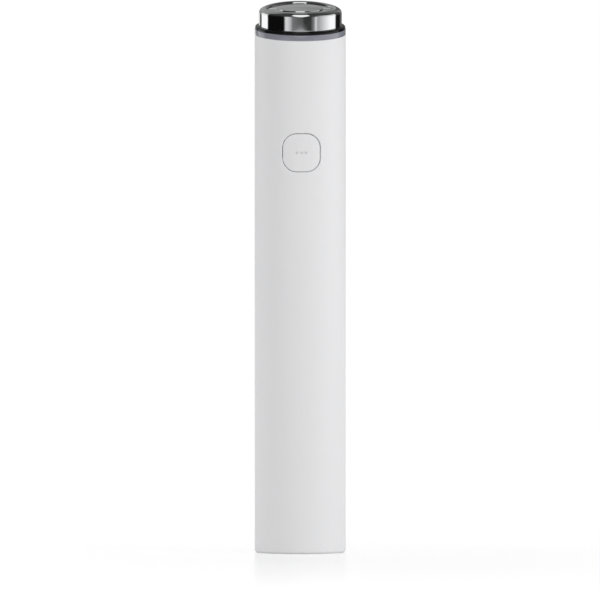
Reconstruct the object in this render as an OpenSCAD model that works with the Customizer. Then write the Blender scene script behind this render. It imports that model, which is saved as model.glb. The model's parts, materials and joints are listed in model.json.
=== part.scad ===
// Handheld facial toning device: a round grip with a slightly canted chrome head.
// Millimetres, +Z up the grip. The button faces -Y. The origin is the centre of the
// flat base that the device stands on.

/* [Grip] */
// Outside diameter of the grip
body_d = 25; // [24.5:0.5:28]
// Wall of the outer sleeve
body_wall = 1.5; // [1.3:0.1:1.6]
// Height of the sleeve's slanted top edge, measured on the axis
axis_height = 142.5; // [138:0.5:165]
// Radius of the sleeve's bottom edge
base_fillet = 0.8; // [0.3:0.1:1]
// Radial clearance between parts that slide into each other
slip = 0.1; // [0.05:0.01:0.15]

/* [Head] */
// Angle that the head leans towards the button
head_cant = 7; // [0:0.5:10]
// Height of the translucent light ring
ring_h = 1.5; // [1.2:0.1:2.5]
// Height of the black collar above the light ring
collar_h = 1.1; // [0.8:0.1:2]
// Diameter of the black collar
collar_d = 24.8; // [24.2:0.1:24.9]
// Radius of the collar's top edge
collar_round = 0.6; // [0.2:0.1:0.7]
// Diameter of the chrome electrode cap
cap_d = 22.9; // [22.7:0.1:23.8]
// Height of the electrode cap above the collar
cap_h = 4.95; // [4.6:0.05:7]
// Radius between the cap's side and its face
cap_round = 1.1; // [0.5:0.1:1.5]
// Rise of the cap's face from its edge to its centre
cap_crown = 0.25; // [0.1:0.05:0.4]
// Sheet thickness of the cap's side
cap_side_t = 0.6; // [0.4:0.05:0.6]
// Sheet thickness of the cap's face
cap_face_t = 0.8; // [0.6:0.05:1]
// Inner radius of the four troughs in the face
trough_in = 6.2; // [5.8:0.1:6.6]
// Outer radius of the four troughs in the face
trough_out = 9.2; // [8.8:0.1:9.4]
// Width of the bridges between the troughs
bridge_w = 3.7; // [2.5:0.1:5]
// Depth of the contacts in the troughs below the edge of the face
trough_depth = 0.45; // [0.3:0.05:0.55]

/* [Button] */
// Distance from the sleeve's top edge down to the button's centre
button_drop = 32.2; // [30:0.1:36]
// Width of the button
button_w = 10.2; // [8:0.1:10.6]
// Height of the button
button_h = 10.3; // [9:0.1:11]
// Corner radius of the button
button_corner = 3.8; // [2:0.1:3.9]
// Gap between the button and the window in the sleeve
window_gap = 0.15; // [0.1:0.01:0.25]
// Depth of the hollow in the button's face
button_dish = 0.25; // [0.1:0.05:0.4]
// Travel of the button
button_travel = 0.35; // [0.2:0.05:0.4]
// Diameter of each light dot
dot_d = 0.7; // [0.4:0.1:0.9]
// Distance between the light dots
dot_pitch = 1.27; // [1.1:0.01:1.5]

/* [Charging port] */
// Width of the receptacle's metal shell
usb_w = 8.94; // [8.6:0.02:9.1]
// Height of the receptacle's metal shell
usb_h = 3.26; // [3:0.02:3.4]
// Sheet thickness of the metal shell
usb_t = 0.3; // [0.2:0.05:0.4]
// Depth of the receptacle
usb_depth = 7.1; // [6.6:0.1:8]

/* [Battery] */
// Diameter of the battery cell
cell_d = 14; // [13:0.1:14.2]
// Length of the battery cell
cell_l = 50; // [44:0.5:52]

/* [Motor] */
// Diameter of the vibration motor
motor_d = 6; // [5:0.1:6.4]
// Length of the motor's can
motor_l = 12; // [10:0.1:13]
// Diameter of the motor's shaft
shaft_d = 0.8; // [0.6:0.05:1]
// Radius of the eccentric weight
weight_r = 2.8; // [2:0.1:3]
// Length of the eccentric weight
weight_l = 3.2; // [2:0.1:4]

/* [Hidden] */
$fn = 96;

// Shared small sizes
over = 1;
far = 400;
fit_gap = 0.03;
glue_gap = 0.05;
board_t = 1;
tab_t = 0.3;
pad_t = 1.2;
lead_r = 0.5;
lead_swell = 1.05;
screw_r = 0.8;
screw_head_r = 1.4;
screw_head_h = 1;
screw_grip = 0.02;
screw_free = 0.1;
seal_land = 0.95;
seal_play = 0.1;

// Sleeve
body_r = body_d / 2;
bore_r = body_r - body_wall;
plug_r = bore_r - slip;
seal_seat_r = bore_r - seal_land;
seal_r = (seal_land - 2 * fit_gap) / 2;
seal_mid_r = bore_r - seal_land / 2;

// Base
cap_floor = 2;
skirt_wall = 1.4;
board_inset = 0.3;
skirt_top = usb_depth + 0.4;
base_seal_z = cap_floor + 2.5;
hook_w = 4;
hook_t = 1;
hook_tip = 1.1;
hook_reach = 4;
hook_slope = 1.5;
hook_play = 0.2;
hook_window_h = 1.6;
gasket_rim = 1.5;
gasket_t = 1.2;
port_gap = 0.15;
tongue_w = 6.7;
tongue_t = 0.7;
tongue_back = 1.2;
tongue_start = 1.2;
port_recess = skirt_top - usb_depth;

// Chassis
chassis_wall = 1.2;
chassis_r = plug_r;
inner_r = chassis_r - chassis_wall;
clear_r = inner_r - 0.2;
chassis_z0 = skirt_top + board_t;
hook_z = chassis_z0 + 3;
hook_x = clear_r - 0.3;

// Battery stack, from the lower bulkhead up
bulkhead_t = 1.5;
bulkhead_z = chassis_z0 + 7.5;
cell_z0 = bulkhead_z + bulkhead_t + pad_t + tab_t;
cell_z1 = cell_z0 + cell_l;
cell_r = cell_d / 2;
sleeve_t = 0.12;
upper_bulkhead_z = cell_z1 + tab_t + pad_t;
cell_y = inner_r - cell_r - sleeve_t - 0.33;
tab_r = 3;
tab_w = 2;
foam_end = 5;
foam_w = 8;
lane_x = clear_r - 1.1;
lane_y = -1.5;

// Main board
board_back = cell_y - cell_r - sleeve_t - 0.28;
board_front = board_back - board_t;
boss_inset = 2.1;
boss_x = inner_r - boss_inset;
boss_front_r = 1.5;
board_w = 2 * (boss_x - boss_front_r - slip);
board_z0 = chassis_z0 + 1.5;

// Top of the chassis and the carrier
head_z = axis_height + ring_h / cos(head_cant);
chassis_z1 = axis_height - 8.5;
top_plate_t = 2.5;
board_z1 = chassis_z1 - top_plate_t - 1.5;
lead_hole_w = 5;
lead_hole_d = 4;
lead_hole_y = -3;
head_lead_x = 1.5;
head_lead_drop = 2;
head_lead_rise = 4;
carrier_floor = 1.2;
carrier_wall = 1.5;
carrier_screw_x = 6;
carrier_screw_y = 2;
head_seal_z = chassis_z1 + 3;
ring_wall = 2.2;
neck_r = body_r - ring_wall - slip;
neck_wall = 1.3;
neck_bore = neck_r - neck_wall;
neck_foot = 2.5;
ledge_w = 1;
ledge_h = 1;
ring_board_h = 0.8;
ring_board_bore = 5.5;
led_count = 8;
led_w = 2.4;
ring_led = [1.2, 1.6, 0.7];
led_setback = 0.4;
window_reach = 0.5;
window_h = 1;
board_ledge = -ring_h - 0.4;
neck_rise = 2;
neck_top = collar_h + neck_rise;
head_board_t = 0.8;
insulator_t = 0.9;
insulator_gap = 0.05;
insulator_wall = 0.55;
cap_inner_r = cap_d / 2 - cap_side_t;
cap_neck_r = cap_inner_r - insulator_wall - 2 * insulator_gap;
cap_neck_bore = cap_neck_r - neck_wall;
neck_web = 1;
web_bore = min(neck_bore, cap_neck_bore);
cap_top = collar_h + cap_h;
face_under = cap_top - cap_face_t;
inlay_border = 0.3;
inlay_t = 0.65;
inlay_top = cap_top - trough_depth + 0.05;
inlay_bottom = inlay_top - inlay_t;
spring_r = 0.45;
spring_base_r = 0.7;
spring_base_h = 0.4;
spring_x = 3;
spring_clear = 0.15;

// Button and switch
button_z = axis_height - button_drop;
button_face_r = body_r - 0.05;
dish_r = pow(button_h / 2, 2) / (2 * button_dish);
flange_lip = 1.2;
flange_r = bore_r - 0.2;
flange_t = 0.8;
post_r = 1.5;
switch_w = 4.5;
switch_h = 1.6;
plunger_r = 1.1;
plunger_out = 0.8;
plunger_l = 1.2;
push_pad_t = 0.3;
push_pad_r = 1.2;
switch_stop_gap = 0.15;
boot_t = 0.3;
boot_r = 2.1;
switch_face = board_front - switch_h;
plunger_face = switch_face - plunger_out;
post_end = plunger_face - push_pad_t;
guide_w = 2 * dot_pitch + 1.3;
guide_t = 0.6;
guide_h = 4.1;
guide_foot_h = 1.3;
guide_foot_l = 3;
guide_cover = 1.2;
guide_y = guide_cover - body_r;
guide_low = 0.5;
led_size = [0.8, 0.5, 1.2];
led_pitch = 1.6;
opening_play = 0.9;

// Fixing screws of the chassis
boss_rear_r = 2;
head_sink = 0.15;
screw_seat = sqrt(pow(chassis_r, 2) - pow(boss_x + screw_head_r, 2)) - screw_head_h - head_sink;
screw_l = 10;
screw_tip_gap = 0.3;
boss_rise = 6;
boss_margin = 2.95;
lower_boss_z = upper_bulkhead_z + bulkhead_t + boss_rise;
upper_boss_z = button_z + button_h / 2 + flange_lip + opening_play + boss_front_r + boss_margin;

// Motor, under the weight and behind the switch
motor_r = motor_d / 2;
rubber_t = 0.85;
motor_back = 2.65;
motor_y = inner_r - motor_back - rubber_t - motor_r;
motor_drop = 2.3;
motor_z1 = button_z - motor_drop;
motor_z0 = motor_z1 - motor_l;
can_t = 0.3;
shaft_r = shaft_d / 2;
bush_r = 1;
bush_l = 1.8;
bush_out = 0.5;
magnet_t = 0.6;
magnet_slot = 1.5;
magnet_end = 2;
armature_gap = 0.2;
armature_end = 2.4;
end_cap_t = 1.6;
end_cap_out = 0.4;
shaft_pocket = 0.4;
shaft_foot = 0.5;
weight_gap = 1.2;
weight_z = motor_z1 + weight_gap;
rubber_end = 1;
rubber_l = motor_l - 2 * rubber_end;
cradle_end = 1;
cradle_l = rubber_l - 2 * cradle_end;
cradle_w = 4;
motor_lead_x = 1;
motor_lead_drop = 2;

// Parts on the main board
plug_size = [6, 3, 4];
plug_rise = 2;
plug_z = upper_bulkhead_z + bulkhead_t + plug_rise;
plug_lead_drop = 1.2;
coil_size = 6;
coil_h = 4;
coil_gap = 1.5;
coil_z = plug_z + plug_size[2] + coil_gap;
rib_t = 1.5;
ribs_z = [bulkhead_z, cell_z0 + cell_l / 2, upper_bulkhead_z];
// Chips: width, thickness, the rib below and the height above it
chips = [[4, 0.8, 0, 6], [6, 0.9, 1, 3], [5, 0.9, 2, 1]];
capacitor_size = [1.6, 0.9, 2.4];
// Capacitors: place across the board, the rib below and the height above it
capacitor_places = [
    [-3.2, 0, 15], [3.2, 0, 15], [-3.2, 1, 15], [3.2, 1, 15], [0, 2, 11.5], [3.2, 2, 11.5]
];

module on_head(h = 0) {
    translate([0, 0, head_z]) rotate([head_cant, 0, 0]) translate([0, 0, h]) children();
}

// Everything above a plane square to the head's axis
module above_head(h) {
    on_head(h) translate([-body_d, -body_d, 0]) cube([2 * body_d, 2 * body_d, body_d]);
}

module tube(outer, inner, z0, z1) {
    difference() {
        translate([0, 0, z0]) cylinder(r = outer, h = z1 - z0);
        translate([0, 0, z0 - over]) cylinder(r = inner, h = z1 - z0 + 2 * over);
    }
}

module torus(mid, r) {
    rotate_extrude() translate([mid, 0]) circle(r = r, $fn = 32);
}

module rounded_rect(w, h, r) {
    square([w, h - 2 * r], center = true);
    square([w - 2 * r, h], center = true);
    for (x = [-1, 1], y = [-1, 1])
        translate([x * (w / 2 - r), y * (h / 2 - r)]) circle(r = r);
}

module stadium(w, h) {
    square([w - h, h], center = true);
    for (x = [-1, 1]) translate([x * (w - h) / 2, 0]) circle(r = h / 2);
}

// A prism through the sleeve's front at the button
module button_prism(w, h, r) {
    translate([0, 0, button_z]) rotate([90, 0, 0])
        linear_extrude(height = body_r + over) rounded_rect(w, h, r);
}

// Round rod along -Y, from y0 out to y1
module front_rod(r, x, z, y0, y1) {
    translate([x, y0, z]) rotate([90, 0, 0]) cylinder(r = r, h = y0 - y1);
}

// Insulated lead along a list of points; its ends are flat
module lead(route) {
    for (i = [0 : len(route) - 2]) {
        run = route[i + 1] - route[i];
        translate(route[i])
            rotate([0, acos(run[2] / norm(run)), atan2(run[1], run[0])])
                cylinder(r = lead_r, h = norm(run), $fn = 24);
        if (i > 0) translate(route[i]) sphere(r = lead_r * lead_swell, $fn = 24);
    }
}

function head_point(x, y, h) = [
    x,
    y * cos(head_cant) - h * sin(head_cant),
    head_z + y * sin(head_cant) + h * cos(head_cant)
];

// Four curved areas between two radii, parted by straight bridges
module arc_areas(inner, outer, bridge, h0, h1) {
    translate([0, 0, h0]) linear_extrude(height = h1 - h0) difference() {
        circle(r = outer);
        circle(r = inner);
        square([3 * outer, bridge], center = true);
        square([bridge, 3 * outer], center = true);
    }
}

// ---- Grip ----

module body_outline() {
    rotate_extrude() {
        square([body_r - base_fillet, head_z + body_r]);
        translate([0, base_fillet]) square([body_r, head_z + body_r - base_fillet]);
        translate([body_r - base_fillet, base_fillet]) circle(r = base_fillet);
    }
}

module body_shell() {
    color([0.93, 0.93, 0.94]) difference() {
        intersection() {
            body_outline();
            translate([-body_d, -body_d, 0]) cube([2 * body_d, 2 * body_d, far]);
        }
        translate([0, 0, -over]) cylinder(r = bore_r, h = far);
        above_head(-ring_h);
        button_prism(button_w + 2 * window_gap, button_h + 2 * window_gap,
                     button_corner + window_gap);
    }
}

module cap_hook() {
    root_x = plug_r - skirt_wall + hook_play;
    rotate([90, 0, 0]) translate([0, 0, -hook_w / 2]) linear_extrude(height = hook_w) polygon([
        [hook_x - hook_t, skirt_top - hook_reach], [root_x, skirt_top - hook_reach],
        [root_x, skirt_top], [hook_x, skirt_top], [hook_x, hook_z], [hook_x + hook_tip, hook_z],
        [hook_x, hook_z + hook_slope], [hook_x - hook_t, hook_z + hook_slope]
    ]);
}

module bottom_cap() {
    color([0.91, 0.91, 0.92]) difference() {
        union() {
            cylinder(r = plug_r, h = cap_floor);
            tube(plug_r, plug_r - skirt_wall, cap_floor - over, skirt_top);
            for (turn = [0, 180]) rotate(turn) cap_hook();
        }
        translate([0, 0, -over]) linear_extrude(height = cap_floor + 2 * over)
            stadium(usb_w + 2 * port_gap, usb_h + 2 * port_gap);
        tube(plug_r + over, seal_seat_r, base_seal_z - seal_r - seal_play,
             base_seal_z + seal_r + seal_play);
    }
}

module cap_seal() {
    color([0.25, 0.25, 0.27]) translate([0, 0, base_seal_z]) torus(seal_mid_r, seal_r);
}

// ---- Charging port ----

module usb_shell() {
    color([0.78, 0.79, 0.8]) difference() {
        translate([0, 0, port_recess]) linear_extrude(height = usb_depth) stadium(usb_w, usb_h);
        translate([0, 0, port_recess - over]) linear_extrude(height = usb_depth + 2 * over)
            stadium(usb_w - 2 * usb_t, usb_h - 2 * usb_t);
    }
}

module usb_tongue() {
    color([0.12, 0.12, 0.13]) {
        translate([0, 0, skirt_top - tongue_back]) linear_extrude(height = tongue_back)
            stadium(usb_w - 2 * usb_t - 2 * fit_gap, usb_h - 2 * usb_t - 2 * fit_gap);
        translate([-tongue_w / 2, -tongue_t / 2, port_recess + tongue_start])
            cube([tongue_w, tongue_t, usb_depth - tongue_start - tongue_back + 0.1]);
    }
}

module usb_gasket() {
    color([0.3, 0.3, 0.32]) difference() {
        translate([0, 0, cap_floor]) linear_extrude(height = gasket_t)
            stadium(usb_w + 2 * gasket_rim, usb_h + 2 * gasket_rim);
        translate([0, 0, cap_floor - over]) linear_extrude(height = gasket_t + 2 * over)
            stadium(usb_w + 2 * glue_gap, usb_h + 2 * glue_gap);
    }
}

module charge_board() {
    color([0.1, 0.35, 0.22]) difference() {
        translate([0, 0, skirt_top]) cylinder(r = plug_r - board_inset, h = board_t);
        for (side = [-1, 1])
            translate([side * (hook_x - hook_t - hook_play + body_r / 2), 0, skirt_top + board_t / 2])
                cube([body_r, hook_w + 2 * hook_play, board_t + over], center = true);
    }
}

module charge_leads() {
    color([0.75, 0.12, 0.1]) for (x = [-2, 2])
        lead([[x, -2, chassis_z0], [x, -2, board_z0 + 3], [x, board_back, board_z0 + 3]]);
}

// ---- Chassis ----

module hook_windows() {
    translate([0, 0, hook_z + hook_window_h / 2 - hook_play])
        cube([2 * body_r, hook_w + 2 * hook_play, hook_window_h], center = true);
}

module half_chassis(side) {
    intersection() {
        tube(chassis_r, inner_r, chassis_z0, chassis_z1);
        translate([-body_r, side > 0 ? 0 : -body_d, 0]) cube([body_d, body_d, far]);
    }
}

// Segment-shaped rib that the board's front face rests against
module board_rib(z) {
    intersection() {
        translate([0, 0, z]) cylinder(r = inner_r + 0.1, h = rib_t);
        translate([-body_r, board_front - body_d, z]) cube([body_d, body_d, rib_t]);
    }
}

module chassis_front() {
    color([0.32, 0.33, 0.35]) difference() {
        union() {
            half_chassis(-1);
            for (z = ribs_z) board_rib(z);
            for (x = [-boss_x, boss_x], z = [lower_boss_z, upper_boss_z]) intersection() {
                front_rod(boss_front_r, x, z, 0, -body_r);
                cylinder(r = inner_r + 0.1, h = far);
            }
        }
        hook_windows();
        button_prism(button_w + 2 * flange_lip + 2 * opening_play,
                     button_h + 2 * flange_lip + 2 * opening_play, button_corner);
        for (x = [-boss_x, boss_x], z = [lower_boss_z, upper_boss_z])
            front_rod(screw_r + screw_grip, x, z, over, screw_seat - screw_l - screw_tip_gap);
    }
}

// Cross wall of the rear half: full width behind, free of the front half's wall
module bulkhead(z, t, front) {
    intersection() {
        translate([0, 0, z]) cylinder(r = inner_r + 0.1, h = t);
        translate([-body_r, 0, z]) cube([body_d, body_d, t]);
    }
    intersection() {
        translate([0, 0, z]) cylinder(r = clear_r, h = t);
        translate([-body_r, front, z]) cube([body_d, body_d, t]);
    }
}

module lead_notches(z, t) {
    for (side = [-1, 1]) translate([side * (lane_x + 1.7), lane_y, z + t / 2])
        cube([5, 3, t + over], center = true);
}

module chassis_rear() {
    color([0.32, 0.33, 0.35]) difference() {
        union() {
            half_chassis(1);
            bulkhead(bulkhead_z, bulkhead_t, board_back);
            bulkhead(upper_bulkhead_z, bulkhead_t, board_back);
            bulkhead(chassis_z1 - top_plate_t, top_plate_t, -body_r);
            for (x = [-boss_x, boss_x], z = [lower_boss_z, upper_boss_z]) intersection() {
                front_rod(boss_rear_r, x, z, body_r, 0);
                cylinder(r = inner_r + 0.1, h = far);
            }
            intersection() {
                translate([-cradle_w, motor_y, (motor_z0 + motor_z1 - cradle_l) / 2])
                    cube([2 * cradle_w, body_r, cradle_l]);
                cylinder(r = inner_r + 0.1, h = far);
            }
        }
        hook_windows();
        lead_notches(upper_bulkhead_z, bulkhead_t);
        for (x = [-boss_x, boss_x], z = [lower_boss_z, upper_boss_z]) {
            front_rod(screw_r + screw_free, x, z, body_r, -over);
            front_rod(screw_head_r + screw_free, x, z, body_r, screw_seat);
        }
        translate([0, motor_y, motor_z0]) cylinder(r = motor_r + rubber_t + 2 * glue_gap, h = motor_l);
        translate([0, lead_hole_y, chassis_z1])
            cube([lead_hole_w, lead_hole_d, 3 * top_plate_t], center = true);
        for (x = [-carrier_screw_x, carrier_screw_x])
            translate([x, carrier_screw_y, chassis_z1 - top_plate_t - over])
                cylinder(r = screw_r + screw_grip, h = top_plate_t + 2 * over);
    }
}

// Pan-head screw pointing down, its head's seat at z = 0
module screw(length) {
    difference() {
        union() {
            cylinder(r = screw_head_r, h = screw_head_h);
            translate([0, 0, -length]) cylinder(r = screw_r, h = length + 0.1);
        }
        for (turn = [0, 90]) rotate(turn) translate([0, 0, screw_head_h])
            cube([1.6, 0.35, 1], center = true);
    }
}

module chassis_screws() {
    color([0.7, 0.71, 0.72]) for (x = [-boss_x, boss_x], z = [lower_boss_z, upper_boss_z])
        translate([x, screw_seat, z]) rotate([-90, 0, 0]) screw(screw_l);
}

// ---- Electronics ----

module main_board() {
    color([0.1, 0.35, 0.22]) translate([-board_w / 2, board_front, board_z0])
        cube([board_w, board_t, board_z1 - board_z0]);
}

module board_chips() {
    color([0.1, 0.1, 0.11]) for (chip = chips)
        translate([-chip[0] / 2, board_front - chip[1], ribs_z[chip[2]] + rib_t + chip[3]])
            cube([chip[0], chip[1], chip[0]]);
}

module board_capacitors() {
    color([0.62, 0.5, 0.36]) for (place = capacitor_places)
        translate([place[0] - capacitor_size[0] / 2, board_front - capacitor_size[1],
                   ribs_z[place[1]] + rib_t + place[2]]) cube(capacitor_size);
}

module step_up_coil() {
    color([0.2, 0.2, 0.21]) difference() {
        translate([-coil_size / 2, board_back, coil_z]) cube([coil_size, coil_h, coil_size]);
        translate([0, 0, coil_z + coil_size / 2])
            front_rod(coil_size * 0.3, 0, 0, board_back + coil_h + over, board_back + coil_h - 0.5);
    }
}

module battery_plug() {
    color([0.92, 0.9, 0.84]) translate([-plug_size[0] / 2, board_back, plug_z])
        cube(plug_size);
}

module status_leds() {
    color([0.95, 0.95, 0.85]) for (i = [-1 : 1])
        translate([i * led_pitch - led_size[0] / 2, board_front - led_size[1],
                   button_z + guide_h - guide_low - guide_foot_h]) cube(led_size);
}

// ---- Battery ----

module battery_cell() {
    color([0.6, 0.62, 0.64]) translate([0, cell_y, cell_z0]) {
        cylinder(r = cell_r, h = cell_l);
    }
}

module battery_sleeve() {
    color([0.1, 0.35, 0.65]) translate([0, cell_y, 0])
        tube(cell_r + sleeve_t, cell_r + 0.01, cell_z0 + tab_t, cell_z1 - tab_t);
}

module battery_foam() {
    color([0.2, 0.2, 0.2]) difference() {
        intersection() {
            translate([0, 0, cell_z0 + foam_end])
                cylinder(r = inner_r - fit_gap, h = cell_l - 2 * foam_end);
            translate([-foam_w / 2, cell_y, 0]) cube([foam_w, body_r, far]);
        }
        translate([0, cell_y, 0]) cylinder(r = cell_r + sleeve_t + fit_gap, h = far);
    }
}

module battery_pads() {
    color([0.25, 0.25, 0.25]) for (z = [bulkhead_z + bulkhead_t, cell_z1 + tab_t])
        translate([0, cell_y, z]) cylinder(r = tab_r + 1, h = pad_t);
}

// Nickel strip welded to a cell end, with an arm out to its lead
module battery_tab(side, z) {
    translate([0, cell_y, z]) cylinder(r = tab_r, h = tab_t);
    translate([side > 0 ? 0 : -lane_x - lead_r, cell_y - tab_r, z])
        cube([lane_x + lead_r, tab_w, tab_t]);
    translate([side * lane_x - lead_r, lane_y - lead_r, z])
        cube([2 * lead_r, cell_y - tab_r + tab_w - lane_y + lead_r, tab_t]);
}

module battery_tabs() {
    color([0.75, 0.74, 0.7]) {
        battery_tab(1, cell_z0 - tab_t);
        battery_tab(-1, cell_z1);
    }
}

module battery_lead(side, z) {
    entry_y = board_back + plug_size[1] / 2;
    lead([[side * lane_x, lane_y, z], [side * lane_x, lane_y, plug_z - plug_lead_drop],
          [side, entry_y, plug_z - plug_lead_drop], [side, entry_y, plug_z]]);
}

module battery_leads() {
    color([0.12, 0.12, 0.12]) {
        battery_lead(1, cell_z0);
        battery_lead(-1, cell_z1 + tab_t);
    }
}

// ---- Button ----

module tact_switch() {
    color([0.15, 0.15, 0.16]) difference() {
        translate([-switch_w / 2, switch_face, button_z - switch_w / 2])
            cube([switch_w, switch_h, switch_w]);
        front_rod(plunger_r + glue_gap, 0, button_z, switch_face + plunger_l - plunger_out
                  + button_travel + switch_stop_gap, switch_face - over);
    }
}

module switch_boot() {
    color([0.3, 0.3, 0.32]) difference() {
        front_rod(boot_r, 0, button_z, switch_face, switch_face - boot_t);
        front_rod(plunger_r + 3 * glue_gap, 0, button_z, switch_face + over, switch_face - over);
    }
}

module switch_plunger() {
    color([0.85, 0.85, 0.8])
        front_rod(plunger_r, 0, button_z, plunger_face + plunger_l, plunger_face);
}

// Light guide moulded into the button: three dots, a bar behind them and a foot to the LEDs
module guide_shape(gap) {
    for (i = [-1 : 1])
        front_rod(dot_d / 2 + gap, i * dot_pitch, button_z, guide_y + guide_t / 2, -body_r - over);
    translate([-guide_w / 2 - gap, guide_y - gap, button_z - guide_low - gap])
        cube([guide_w + 2 * gap, guide_t + 2 * gap, guide_h + 2 * gap]);
    translate([-guide_w / 2 - gap, guide_y, button_z - guide_low + guide_h - guide_foot_h - gap])
        cube([guide_w + 2 * gap, guide_foot_l, guide_foot_h + 2 * gap]);
}

// Turned form that the button's face follows: hollow along Z, round about Z
module button_turning() {
    difference() {
        translate([0, 0, button_z - button_h]) cylinder(r = button_face_r, h = 2 * button_h);
        translate([0, 0, button_z]) rotate_extrude()
            translate([button_face_r - button_dish + dish_r, 0]) circle(r = dish_r, $fn = 180);
    }
}

module button_cap() {
    color([0.93, 0.93, 0.94]) difference() {
        union() {
            intersection() {
                button_prism(button_w, button_h, button_corner);
                button_turning();
            }
            intersection() {
                button_prism(button_w + 2 * flange_lip, button_h + 2 * flange_lip,
                             button_corner + flange_lip);
                cylinder(r = flange_r, h = far);
            }
            front_rod(post_r, 0, button_z, post_end, -flange_r + flange_t / 2);
        }
        difference() {
            cylinder(r = flange_r - flange_t, h = far);
            front_rod(post_r, 0, button_z, post_end, -flange_r);
        }
        guide_shape(0);
    }
}

module button_light_guide() {
    color([0.85, 0.86, 0.87]) intersection() {
        guide_shape(0);
        button_turning();
    }
}

module button_pad() {
    color([0.2, 0.2, 0.2])
        front_rod(push_pad_r, 0, button_z, plunger_face, plunger_face - push_pad_t);
}

// ---- Motor ----

module on_motor() {
    translate([0, motor_y, 0]) children();
}

module motor_can() {
    color([0.72, 0.73, 0.74]) on_motor() {
        tube(motor_r, motor_r - can_t, motor_z0, motor_z1);
        tube(motor_r - can_t / 2, bush_r + fit_gap, motor_z1 - 2 * can_t, motor_z1);
    }
}

module motor_end_cap() {
    color([0.15, 0.15, 0.16]) on_motor() difference() {
        translate([0, 0, motor_z0 - end_cap_out])
            cylinder(r = motor_r - can_t - fit_gap, h = end_cap_t);
        translate([0, 0, motor_z0 + shaft_pocket]) cylinder(r = shaft_r + fit_gap, h = end_cap_t);
    }
}

module motor_bush() {
    color([0.72, 0.55, 0.25]) on_motor()
        tube(bush_r, shaft_r + fit_gap, motor_z1 - bush_l + bush_out, motor_z1 + bush_out);
}

module motor_magnets() {
    color([0.3, 0.3, 0.32]) on_motor() difference() {
        tube(motor_r - can_t - fit_gap, motor_r - can_t - magnet_t,
             motor_z0 + magnet_end, motor_z1 - magnet_end);
        translate([0, 0, (motor_z0 + motor_z1) / 2])
            cube([magnet_slot, motor_d, motor_l], center = true);
    }
}

module motor_shaft() {
    color([0.8, 0.81, 0.82]) on_motor()
        translate([0, 0, motor_z0 + shaft_foot])
            cylinder(r = shaft_r, h = weight_z + weight_l - motor_z0);
}

module motor_armature() {
    color([0.7, 0.35, 0.15]) on_motor()
        tube(motor_r - can_t - magnet_t - armature_gap, shaft_r + screw_grip,
             motor_z0 + armature_end, motor_z1 - armature_end);
}

module eccentric_weight() {
    color([0.5, 0.5, 0.52]) on_motor() difference() {
        translate([0, 0, weight_z]) cylinder(r = weight_r, h = weight_l);
        translate([0, 0, weight_z - over]) cylinder(r = shaft_r + screw_grip, h = weight_l + 2 * over);
        translate([-weight_r - over, -weight_r - shaft_d, weight_z - over])
            cube([2 * weight_r + 2 * over, weight_r, weight_l + 2 * over]);
    }
}

module motor_sleeve() {
    color([0.2, 0.2, 0.21]) on_motor()
        tube(motor_r + rubber_t, motor_r + glue_gap, motor_z0 + rubber_end,
             motor_z0 + rubber_end + rubber_l);
}

module motor_leads() {
    color([0.1, 0.25, 0.6]) for (x = [-motor_lead_x, motor_lead_x])
        lead([[x, motor_y, motor_z0 - end_cap_out], [x, motor_y, motor_z0 - motor_lead_drop],
              [x, board_back, motor_z0 - motor_lead_drop]]);
}

// ---- Head ----

// Neck through the ring and the collar, its board ledge, and the part inside the cap
module head_neck() {
    tube(neck_r, neck_bore, -ring_h - neck_foot, collar_h);
    tube(neck_r, neck_bore - ledge_w, board_ledge - ledge_h, board_ledge);
    tube(neck_r, web_bore, collar_h - neck_web, collar_h);
    tube(cap_neck_r, web_bore, collar_h, collar_h + neck_web);
    tube(cap_neck_r, cap_neck_bore, collar_h, neck_top);
}

module head_carrier() {
    color([0.85, 0.86, 0.88]) difference() {
        union() {
            difference() {
                translate([0, 0, chassis_z1]) cylinder(r = plug_r, h = body_d);
                above_head(-ring_h);
                translate([0, 0, chassis_z1 + carrier_floor])
                    cylinder(r = plug_r - carrier_wall, h = body_d);
            }
            on_head() head_neck();
        }
        tube(plug_r + over, seal_seat_r, head_seal_z - seal_r - seal_play,
             head_seal_z + seal_r + seal_play);
        translate([0, lead_hole_y, chassis_z1])
            cube([lead_hole_w, lead_hole_d, 3 * carrier_floor], center = true);
        for (x = [-carrier_screw_x, carrier_screw_x])
            translate([x, carrier_screw_y, chassis_z1 - over])
                cylinder(r = screw_r + screw_free, h = carrier_floor + 2 * over);
        for (i = [0 : led_count - 1])
            on_head(board_ledge + ring_board_h) rotate(i * 360 / led_count)
                translate([neck_bore - window_reach, -led_w / 2, 0])
                    cube([neck_wall + over, led_w, window_h]);
    }
}

module carrier_screws() {
    color([0.7, 0.71, 0.72]) for (x = [-carrier_screw_x, carrier_screw_x])
        translate([x, carrier_screw_y, chassis_z1 + carrier_floor])
            screw(carrier_floor + top_plate_t - 0.2);
}

module head_seal() {
    color([0.25, 0.25, 0.27]) translate([0, 0, head_seal_z]) torus(seal_mid_r, seal_r);
}

module ring_board() {
    color([0.1, 0.35, 0.22]) on_head()
        tube(neck_bore - slip, ring_board_bore, board_ledge, board_ledge + ring_board_h);
}

module ring_leds() {
    color([0.95, 0.95, 0.85]) for (i = [0 : led_count - 1])
        on_head(board_ledge + ring_board_h) rotate(i * 360 / led_count)
            translate([neck_bore - led_setback - ring_led[0], -ring_led[1] / 2, 0])
                cube(ring_led);
}

module light_ring() {
    color([0.55, 0.56, 0.6]) difference() {
        cylinder(r = body_r, h = head_z + body_r);
        above_head(0);
        on_head(-ring_h - far) cylinder(r = 2 * body_d, h = far);
        on_head(-ring_h - over) cylinder(r = neck_r + slip, h = ring_h + 2 * over);
    }
}

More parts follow.
